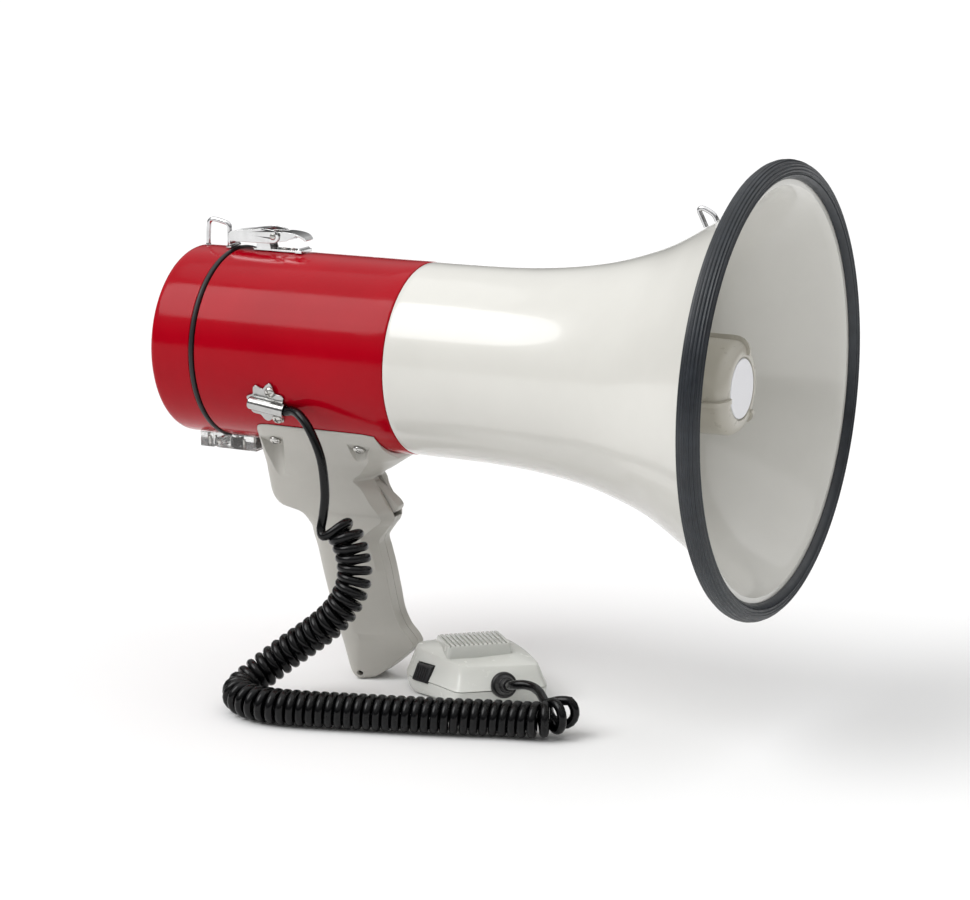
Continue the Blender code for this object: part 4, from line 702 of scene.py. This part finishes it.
def cross_screw(name, at, out, r, h, mat, along, body, slot, node=None):
    """A pan head with a cross recess: its base at a point, its axis outwards."""
    at, out = Vector(at), Vector(out).normalized()
    outline = [(0, 0), (0, r), (0.25, r)] + [(0.25 + (h - 0.25) * math.sin(a), r * (0.25 + 0.75 * math.cos(a))) for a in (math.radians(12 * k) for k in range(1, 8))] + [(h, 0)]
    head = finish_mesh(name, pole(at, at + out * h, outline, 40), mat, 30)
    along = (Vector(along) - out * Vector(along).dot(out)).normalized()
    other = out.cross(along)
    for d, e in ((along, other), (other, along)):
        c = at + out * (h * 0.38)
        pts = [c + d * (r * 0.62) + e * (r * 0.13), c - d * (r * 0.62) + e * (r * 0.13), c - d * (r * 0.62) - e * (r * 0.13), c + d * (r * 0.62) - e * (r * 0.13)]
        cut(head, extruded([tuple(p) for p in pts], out * h))
    place(head, body, slot, *([node] if node else []))
    return head


for node, s in (("clamp_screw_upper", 9.0), ("clamp_screw_lower", -7.5)):
    start = on_tube(4.0, s, 1.35)
    cross_screw(node + "_fine", start, on_tube(4.0, s, 5.0) - start, 3.0, 1.9, SCREW, (1, 0.3, 0.4), "megaphone", "screw_steel", node)

# ------------------------------------------------------------------ handle
HANDLE = [(-33, -287, 36.4, -220, 36.4, -212.6, 36), (-36, -287.2, 36.6, -220, 36.6, -212.6, 36), (-40, -288, 34.2, -220, 34, -212.4, 32.5),
          (-45, -288.3, 31, -220, 30.6, -212, 27), (-49, -288.5, 28.8, -221, 27.6, -211.6, 20), (-52.5, -288.6, 27, -222, 25, -211.5, 12),
          (-57.6, -288.4, 24.3, -227, 20, -217.6, 7), (-62, -288.2, 22.4, -231, 18, -224, 6), (-66.5, -288.2, 20.8, -236, 17, -230.3, 5.5),
          (-70, -288.2, 19.7, -233, 15.5, -228.4, 6), (-73.7, -288.2, 18.6, -231, 14, -225.9, 6.5), (-79.3, -287.4, 17.1, -228, 13, -222.3, 6.5),
          (-84.5, -284.2, 16, -224, 12, -219, 6), (-86, -278.8, 15.8, -223.4, 11, -218.4, 5), (-87, -274, 15.6, -223, 10, -218.2, 4.5),
          (-89, -270.6, 15.3, -223, 10, -218.6, 3.8), (-92, -268.6, 15, -226, 11.5, -220.8, 3.8), (-96, -267.2, 14.7, -230.7, 13.5, -223.8, 4),
          (-99.5, -266.2, 14.5, -233.5, 14, -226.2, 5), (-101, -265.8, 14.5, -232, 13, -226.6, 6), (-106, -264.2, 14.3, -229, 11, -225.4, 6.5),
          (-116, -261.8, 14.2, -226.5, 10, -222.6, 6.5), (-128, -258.6, 14.2, -224.5, 9.5, -220, 6.5), (-139, -255.2, 14.3, -223, 9, -217.4, 6),
          (-147, -252.4, 14.8, -222, 8, -213.6, 6), (-153, -250, 15.2, -219, 7.5, -208.2, 6), (-156.5, -248.8, 15.2, -218, 7.8, -206.2, 5.5),
          (-160, -247.4, 15.2, -220, 9, -208.8, 5.5), (-165, -245.6, 15, -223, 10, -214.3, 6), (-171, -243.4, 14.4, -228, 11, -221.2, 7),
          (-175.5, -241, 12.8, -232, 10.5, -227, 7.5), (-177.5, -238, 11, -234, 9.5, -230.5, 7)]


def stations_at(z):
    """The handle's row at a height, eased between the rows of the table without overshoot."""
    i = 0
    while i < len(HANDLE) - 2 and z < HANDLE[i + 1][0]:
        i += 1
    a, b = HANDLE[i], HANDLE[i + 1]
    h = b[0] - a[0]
    u = (z - a[0]) / h
    out = []
    for k in range(1, len(a)):
        mid = (b[k] - a[k]) / h
        lead = (a[k] - HANDLE[i - 1][k]) / (a[0] - HANDLE[i - 1][0]) if i else mid
        follow = (HANDLE[i + 2][k] - b[k]) / (HANDLE[i + 2][0] - b[0]) if i + 2 < len(HANDLE) else mid
        ma = 2 * lead * mid / (lead + mid) if lead * mid > 0 else 0.0
        mb = 2 * follow * mid / (follow + mid) if follow * mid > 0 else 0.0
        out.append((2 * u**3 - 3 * u**2 + 1) * a[k] + (u**3 - 2 * u**2 + u) * h * ma + (3 * u**2 - 2 * u**3) * b[k] + (u**3 - u**2) * h * mb)
    return out


def rear_arc(z, x0, x1, half, count):
    """The outline's squared rear end, from the centre line round to the widest place."""
    ease = max(0.0, min(1.0, (-z - 79) / 16.0))
    power = 2 / (10.0 + (3.2 - 10.0) * ease)
    out = []
    for k in range(count + 1):
        a = math.pi / 2 * k / count
        out.append((x1 - (x1 - x0) * math.cos(a) ** power if k < count else x1, half * math.sin(a) ** power if k else 0.0))
    return out


def section(z, side, count=22):
    """Half of the handle's outline at a height: squared rear, flat flank, crease and keel."""
    rear_x, half, cx, cy, fx, fy = stations_at(z)
    mid = (rear_x + cx) / 2
    flat = rear_arc(z, rear_x, mid, half, count) + [(cx, cy), (fx, fy), (fx, 0.0)]
    return [(x, side * (y + 0.15), z) for x, y in flat]


def hollow_section(z, side, count=22):
    """The moulding's inside, kept behind the trigger pin above and clear of the keel below."""
    rear_x, half, cx, cy, fx, fy = stations_at(z)
    ease = max(0.0, min(1.0, (-z - 89) / 5.0))
    front = -241.0 + (fx - 3.2 + 241.0) * ease
    rear_x, half, mid = rear_x + 2.4, half - 2.4, (rear_x + cx) / 2
    if front < cx:
        y = half + (cy - 2.4 - half) * max(0.0, (front - mid) / (cx - mid))
        flat = rear_arc(z, rear_x, min(mid, front - 2), half, count) + [(front, y), (front, 0.0)]
        flat.insert(-2, ((flat[-3][0] + front) / 2, (flat[-3][1] + y) / 2))
    else:
        y = cy - 2.4 + (fy - cy) * (front - cx) / (fx - cx)
        flat = rear_arc(z, rear_x, mid, half, count) + [(cx, cy - 2.4), (front, y), (front, 0.0)]
    return [(x, side * y if 0 < i < len(flat) - 1 else -side * 2.0, z) for i, (x, y) in enumerate(flat)]


WELLS = {"rear": (-276.2, [(-286.5, 40), (-285.6, 36), (-285.3, 33), (-284.3, 27), (-281.9, 22.8), (-279.8, 21), (-278, 20.6), (-276, 21.2), (-274.2, 22.8),
                           (-272, 27.3), (-269, 34), (-268, 40)]),
         "front": (-225.3, [(-231.6, 40), (-231, 34), (-230.6, 28.6), (-229.6, 25.2), (-228, 24.4), (-226, 24.8), (-222.4, 26.6), (-214.6, 33.5), (-213.5, 40)])}


def screw_axis(x, side):
    """The saddle screw's seat outside the tube, and the way it points."""
    out = Vector((0, side * math.cos(math.radians(57.5)), -math.sin(math.radians(57.5))))
    return Vector((x, 0, 0)) + out * 53.8, out


def handle_half(name, side):
    rings, z = [], -33.0
    while z > -177.5:
        rings.append(z)
        z -= 1.0
    rings.append(-177.5)
    shape = []
    for z in rings:
        ring = section(z, side)
        shape.append([(ring[0][0], side * 0.15, z)] + ring[1:-1] + [(ring[-1][0], side * 0.15, z)])
    half = finish_mesh(name, lofted(shape), GREY_PLASTIC, 28)
    hollow = [hollow_section(z, side) for z in [-71, -79.3, -84.5, -86, -87, -89, -91, -93, -96, -101, -106, -116, -128, -139, -147, -153, -158, -165, -171, -174.5]]
    cut(half, lofted(hollow), smooth=28)
    cut(half, rod((-330, 0, 0), (-199.0, 0, 0), TUBE_R + GAP, seg=200), smooth=28)
    slot = [(-247, -70.5), (-240.5, -65.2), (-237.2, -64.3), (-233.2, -64.3), (-230.9, -66.6), (-212, -66.6), (-212, -86.6), (-226, -87.6), (-236, -87.6), (-247, -84.5)]
    cut(half, side_plate(slot, -4.1, 4.1), smooth=28)
    cut(half, rod((TRIGGER_X, -11.6, TRIGGER_Z), (TRIGGER_X, 11.6, TRIGGER_Z), 1.6, seg=24), smooth=28)
    for x, plan in WELLS.values():
        inner_plan = [Vector((px, py, 0)) for px, py in plan[1:-1]]
        curved = [plan[0]] + [(p.x, p.y) for p in catmull([tuple(p) for p in inner_plan], 0.8)] + [plan[-1]]
        well = finish_mesh("well", extruded([(px, side * py, -95) for px, py in curved], (0, 0, 65)), GREY_PLASTIC, 28)
        cut(well, rod((-330, 0, 0), (-199.0, 0, 0), 53.6, seg=200), smooth=28)
        cut_by(half, well, smooth=28)
        start, out = screw_axis(x, side)
        cut(half, rod(Vector((x, 0, 0)) + out * 49, start + out, 1.9, seg=24), smooth=28)
    if side < 0:
        cut(half, rod((-235.1, -20, -173.7), (-235.1, -9.0, -173.7), 1.5, seg=28), smooth=28)
    return half


for tag, side in (("left", -1), ("right", 1)):
    half = handle_half("handle_fine_" + tag, side)
    place(half, "megaphone", "handle_plastic", "handle_shell_" + tag)
    for where in ("rear", "front"):
        start, out = screw_axis(WELLS[where][0], side)
        cross_screw(f"saddle_fine_{where}_{tag}", start + out * 0.3, out, 3.3, 2.1, SCREW, (1, 0, 0.3), "megaphone", "screw_steel", f"saddle_screw_{where}_{tag}")

trigger_side = [(-238, -66.5), (-236.8, -65.4), (-235, -65.0), (-233, -65.6), (-231.9, -67.2), (-231.2, -68.9), (-228, -71.1), (-224.3, -73.8), (-220.7, -76.4),
                (-218.3, -78.3), (-216.9, -79.9), (-216.3, -81.2), (-216.5, -82.5), (-217.5, -84.0), (-219.2, -85.1), (-222, -85.4), (-229, -84.3), (-233, -82.0), (-238, -72.6)]
trigger = finish_mesh("trigger_fine", side_plate(trigger_side, -3.6, 3.6), GREY_PLASTIC, 30)
bevelled(trigger, 0.6, 4, 50)
cut(trigger, rod((TRIGGER_X, -12, TRIGGER_Z), (TRIGGER_X, 12, TRIGGER_Z), 1.55, seg=28))
place(trigger, "trigger", "handle_plastic", "trigger")

# ------------------------------------------------------------------ palm microphone
SEAM = 9.0
SEAM_LINE = [(-22.5, 0.0), (-26.5, 3.0), (-31.0, 13.0), (-36.5, 23.5), (-42.0, 33.0), (-43.0, 41.0), (-41.0, 50.0), (-35.0, 57.0), (-24.0, 60.5), (-8.0, 61.5), (6.0, 60.5), (14.5, 57.0),
             (20.5, 50.0), (24.5, 41.0), (26.0, 32.0), (26.0, 18.0), (24.4, 5.0), (21.0, 0.0)]
TOP_LINE = [(-19.5, 11.0, 19.8), (-21.8, 13.2, 20.0), (-26.8, 22.0, 20.8), (-31.5, 30.5, 21.6), (-35.5, 37.5, 22.4), (-37.0, 43.0, 23.0), (-35.5, 49.0, 23.2), (-31.0, 53.0, 23.0), (-22.0, 56.0, 22.6),
            (-8.0, 57.0, 22.4), (3.0, 56.0, 22.4), (9.5, 53.0, 22.4), (13.8, 47.0, 22.4), (16.0, 40.0, 22.2), (18.0, 31.0, 21.8), (19.8, 18.0, 21.0), (20.2, 7.6, 20.2), (17.8, 5.6, 19.9)]


def closed_curve(points, per=5):
    """Rounds a closed outline: keeps its points and curves between them."""
    out, n = [], len(points)
    for i in range(n):
        p0, p1, p2, p3 = (Vector(points[(i + k - 1) % n]) for k in range(4))
        for k in range(per):
            t = k / per
            d1, d2 = (p2 - p0) * 0.5, (p3 - p1) * 0.5
            near = (p2 - p1).length
            d1 = d1 * min(1.0, near / max(d1.length, 1e-6))
            d2 = d2 * min(1.0, near / max(d2.length, 1e-6))
            out.append(tuple((2 * t**3 - 3 * t**2 + 1) * p1 + (t**3 - 2 * t**2 + t) * d1 + (3 * t**2 - 2 * t**3) * p2 + (t**3 - t**2) * d2))
    return out


def inset_line(line, d, centre=(-8.0, 30.0)):
    out = []
    for p in line:
        du, dv = p[0] - centre[0], p[1] - centre[1]
        reach = math.hypot(du, dv)
        out.append((centre[0] + du * (1 - d / reach), centre[1] + dv * (1 - d / reach), *p[2:]))
    return out


def mic_ring(line, h=None):
    return [tuple(mic(p[0], p[1], p[2] if h is None else h)) for p in line]


seam3 = closed_curve([(u, v, SEAM) for u, v in SEAM_LINE])
top3 = closed_curve(TOP_LINE)


def between(t, lift=0.0):
    return [tuple(mic(a[0] + (b[0] - a[0]) * t, a[1] + (b[1] - a[1]) * t, a[2] + (b[2] - a[2]) * t + lift)) for a, b in zip(seam3, top3)]


rings = [[tuple(mic(u, v, SEAM + 0.15)) for u, v, _ in inset_line(seam3, 0.35)], [tuple(mic(u, v, SEAM + 0.45)) for u, v, _ in seam3], between(0.3), between(0.6), between(0.93)]
for d, lift in ((0.12, -0.45), (0.55, -0.08), (1.5, 0.1), (6.0, 0.55), (12.0, 1.0)):
    rings.append([tuple(mic(p[0], p[1], p[2] + lift)) for p in inset_line(top3, d)])
upper = finish_mesh("mic_front_fine", lofted(rings), MIC_PLASTIC, 30)
pad = []


def pad_outline(d, h_front, h_back, r=2.2):
    u0, u1, v0, v1 = -25.3 + d, 10.5 - d, 22.0 + d, 54.0 - d
    out = []
    for cu, cv, a0 in ((u1 - r, v1 - r, 0), (u0 + r, v1 - r, 90), (u0 + r, v0 + r, 180), (u1 - r, v0 + r, 270)):
        for k in range(7):
            a = math.radians(a0 + 15 * k)
            u, v = cu + r * math.cos(a), cv + r * math.sin(a)
            out.append(tuple(mic(u, v, h_front + (h_back - h_front) * (v - 20.5) / 33.5)))
    return out


for d, hf, hb, r in ((0.0, 18.0, 18.0, 2.2), (0.0, 22.6, 22.9, 2.2), (0.9, 27.0, 25.0, 1.9), (1.2, 27.7, 25.5, 1.7), (1.9, 28.15, 25.9, 1.4)):
    pad.append(pad_outline(d, hf, hb, r))
join(upper, lofted(pad), smooth=30)
cut(upper, lofted([mic_ring(inset_line(SEAM_LINE, 2.4), SEAM - 3), mic_ring(inset_line(TOP_LINE, 3.6), 17.6)]))
for k in range(13):
    u = -23.6 + 2.5 * k
    groove = [tuple(mic(u, v, h)) for v, h in ((23.2, 26.0), (57.0, 23.7), (57.0, 32), (23.2, 32))]
    cut(upper, extruded(groove, MIC_A * 0.95), smooth=30)

lower = finish_mesh("mic_back_fine", lofted([[tuple(mic(u, v, h)) for u, v, _ in inset_line(seam3, d)] for d, h in
                                              ((5.6, 0.0), (4.4, 0.1), (3.2, 0.4), (2.2, 1.0), (1.4, 1.9), (0.8, 3.2), (0.4, 5.0), (0.1, 7.0), (0.0, SEAM - 0.4), (0.35, SEAM - 0.15))]),
                    MIC_PLASTIC, 30)
cut(lower, lofted([mic_ring(inset_line(SEAM_LINE, 4.4), 3.0), mic_ring(inset_line(SEAM_LINE, 2.4), SEAM + 3)]))

PTT_IN = (MIC_A * 0.87 + MIC_B * 0.49)
PTT_ALONG = MIC_A * 0.49 - MIC_B * 0.87
PTT_AT = mic(-38.9, 27.6, 12.6)


def ptt_block(depth0, depth1, half_long, half_high):
    c = [PTT_AT + PTT_ALONG * (a * half_long) + Vector((0, 0, b * half_high)) + PTT_IN * depth0 for a, b in ((-1, -1), (1, -1), (1, 1), (-1, 1))]
    return extruded([tuple(p) for p in c], PTT_IN * (depth1 - depth0))


for shell in (upper, lower):
    cut(shell, ptt_block(-6, 9.4, 6.3, 4.6))
    cut(shell, rod(BOOT_AT + BOOT_DIR * -6, BOOT_AT + BOOT_DIR * 8, 3.9, seg=36), rod(BOOT_AT, BOOT_AT + BOOT_DIR * 10, 7.3, seg=48))
place(upper, "megaphone", "handle_plastic", "mic_front_shell")
place(lower, "megaphone", "handle_plastic", "mic_back_shell")
# the button's face leans back with the chamfer that it sits in
talk_rings = []
for low_depth, high_depth in ((-1.2, 2.9), (7.0, 7.0)):
    talk_rings.append([tuple(PTT_AT + PTT_ALONG * (a * 5.9) + Vector((0, 0, b * 4.2)) + PTT_IN * (low_depth if b < 0 else high_depth)) for a, b in ((-1, -1), (1, -1), (1, 1), (-1, 1))])
talk = finish_mesh("talk_button_fine", lofted(talk_rings), BLACK_PLASTIC, 30)
bevelled(talk, 0.7, 3, 30)
for k in range(-2, 3):
    c = PTT_AT + PTT_ALONG * (k * 1.7)
    bar = [tuple(c + PTT_ALONG * -0.35 + Vector((0, 0, h)) + PTT_IN * d) for h, d in ((-3.0, -2.0), (-3.0, -0.25), (3.0, 2.7), (3.0, -2.0))]
    cut(talk, extruded(bar, PTT_ALONG * 0.7))
place(talk, "mic_talk_button", "black_plastic", "mic_talk_button")

boot_outline = [(-5, 0), (-5, 3.5), (0.3, 3.5), (0.3, 6.6), (0.6, 7.0), (1.7, 6.95), (2.7, 6.6), (3.1, 6.1), (3.2, 5.5), (3.8, 5.3), (5.0, 4.75), (6.4, 4.3), (6.9, 4.0), (7.0, 3.55)]
for k in range(3):
    x = 7.5 + 1.8 * k
    boot_outline += [(x, 3.5 - 0.1 * k), (x + 0.15, 3.05 - 0.1 * k), (x + 0.6, 3.05 - 0.1 * k), (x + 0.75, 3.5 - 0.1 * k)]
boot_outline += [(12.8, 3.25), (13.0, 3.0), (13.0, 0)]
boot = finish_mesh("boot_fine", pole(BOOT_AT, BOOT_AT + BOOT_DIR, boot_outline, 56), BOOT, 35)
place(boot, "megaphone", "cord_rubber", "mic_cord_boot")

# ------------------------------------------------------------------ what shows with the cover open
for i, (y, z, r, h) in enumerate(((-22, 12, 4.2, 4.6), (-13, 25, 3.2, 4.2), (12, 28, 3.2, 4.2), (27, -8, 4.2, 4.6), (-31, -12, 2.6, 3.6), (3, -31, 3.2, 4.2))):
    can = pole((-319.0, y, z), (-318.0, y, z), [(0, 0), (0, r), (0.3, r), (0.55, r - 0.25), (0.8, r - 0.25), (1.05, r), (h - 0.3, r), (h, r - 0.3), (h, 0)], 40)
    place(finish_mesh(f"board_can_{i}", can, BLACK_PLASTIC if i % 2 else SATIN, 30), "rear_cover", "switch_metal")
for i, (y, z, w, d) in enumerate(((-4, 8, 9, 4), (14, 10, 5, 7), (-14, -22, 6, 5), (16, -24, 8, 3.5))):
    chip = finish_mesh(f"board_chip_{i}", slab((-319.1, y - w, z - d), (-316.6, y + w, z + d)), BLACK_PLASTIC, 30)
    place(bevelled(chip, 0.3, 2), "rear_cover", "black_plastic")
    pins = bmesh.new()
    for k in range(int(w)):
        for e in (-1, 1):
            part = slab((-319.05, y - w + 1.2 + 2 * k - 0.3, z + e * (d + 0.7) - 0.7), (-318.1, y - w + 1.2 + 2 * k + 0.3, z + e * (d + 0.7) + 0.7))
            spare = bpy.data.meshes.new("spare")
            part.to_mesh(spare)
            part.free()
            pins.from_mesh(spare)
            bpy.data.meshes.remove(spare)
    place(finish_mesh(f"board_pins_{i}", pins, SCREW, 30), "rear_cover", "screw_steel")
for i, (y, z) in enumerate(((-15, 0), (15, 0))):
    pad_ring = pole((-310.6, y, z), (-313.6, y, z), [(1.5, 0), (1.5, 6.4), (1.9, 6.4), (2.2, 6.0), (2.3, 2.6), (2.7, 2.2), (2.8, 0)], 48)
    place(finish_mesh(f"carrier_contact_{i}", pad_ring, SCREW, 30), "megaphone", "screw_steel")
rim_rib = pole((-310.6, 0, 0), (-313.6, 0, 0), [(1.5, 38.0), (2.3, 38.0), (2.6, 38.3), (2.6, 40.7), (2.3, 41.0), (1.5, 41.0)], 120)
place(finish_mesh("carrier_rib", rim_rib, BLACK_PLASTIC, 30), "megaphone", "black_plastic")

# ------------------------------------------------------------------ pieces that keep their solids
KEPT = {"driver_cover": BLACK_PLASTIC, "driver_magnet": MAGNET, "driver_diaphragm": AMBER, "driver_bulkhead": BLACK_PLASTIC, "volume_pot": SATIN, "siren_switch": BLACK_PLASTIC,
        "amplifier_board": BOARD, "amplifier_heat_sink": SATIN, "battery_carrier": BLACK_PLASTIC, "trigger_pin": SCREW, "talk_switch": BLACK_PLASTIC, "trigger_spring": WIRE,
        "mic_capsule": SATIN, "mic_talk_switch": BLACK_PLASTIC}
for k in range(1, 9):
    KEPT[f"battery_cell_{k}"] = CELL
for node, mat in KEPT.items():
    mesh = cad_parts[node].data
    if mesh.materials:
        for i in range(len(mesh.materials)):
            mesh.materials[i] = mat
    else:
        mesh.materials.append(mat)

# ------------------------------------------------------------------ floor and light
floor_mesh = bpy.data.meshes.new("floor")
floor_mesh.from_pydata([(-30, -30, 0), (30, -30, 0), (30, 30, 0), (-30, 30, 0)], [], [(0, 1, 2, 3)])
floor = bpy.data.objects.new("floor", floor_mesh)
bpy.context.scene.collection.objects.link(floor)
floor.location.z = -0.0003
floor_mesh.materials.append(surface("floor_paper", (0.90, 0.90, 0.90), 0.9, shade=0.008, shade_scale=2.0, bumps=((300, 0.02, 0.02),), specular=0.1))

world = bpy.data.worlds.new("studio")
bpy.context.scene.world = world
world.use_nodes = True
tree = world.node_tree
# a pale ceiling over a dim horizon, as of a room with soft light from above
ways = tree.nodes.new("ShaderNodeTexCoord")
split = tree.nodes.new("ShaderNodeSeparateXYZ")
rise = tree.nodes.new("ShaderNodeMapRange")
rise.interpolation_type = "SMOOTHSTEP"
rise.inputs["From Min"].default_value = 0.08
rise.inputs["From Max"].default_value = 0.55
rise.inputs["To Min"].default_value = 0.05
rise.inputs["To Max"].default_value = 0.60
tree.links.new(ways.outputs["Generated"], split.inputs["Vector"])
tree.links.new(split.outputs["Z"], rise.inputs["Value"])
# the studio's white wall, which shows behind the object but gives it no light
wall = tree.nodes.new("ShaderNodeLightPath")
brighter = tree.nodes.new("ShaderNodeMath")
brighter.operation = "MAXIMUM"
tree.links.new(rise.outputs["Result"], brighter.inputs[0])
tree.links.new(wall.outputs["Is Camera Ray"], brighter.inputs[1])
tree.links.new(brighter.outputs["Value"], tree.nodes["Background"].inputs["Strength"])
tree.nodes["Background"].inputs["Color"].default_value = (1.0, 1.0, 1.0, 1)


def soft_sun(name, toward, strength, spread, colour=(1, 1, 1)):
    """A broad even light from a direction, as from a large softbox."""
    light = bpy.data.lights.new(name, "SUN")
    light.energy = strength
    light.angle = math.radians(spread)
    light.color = colour
    obj = bpy.data.objects.new(name, light)
    obj.location = Vector(toward).normalized() * 2
    obj.rotation_euler = (-Vector(toward)).to_track_quat("-Z", "Y").to_euler()
    bpy.context.scene.collection.objects.link(obj)
    return obj


soft_sun("key", (-0.62, -0.70, 1.05), 1.65, 40)
soft_sun("crown", (0.1, 0.15, 1.0), 0.9, 80)
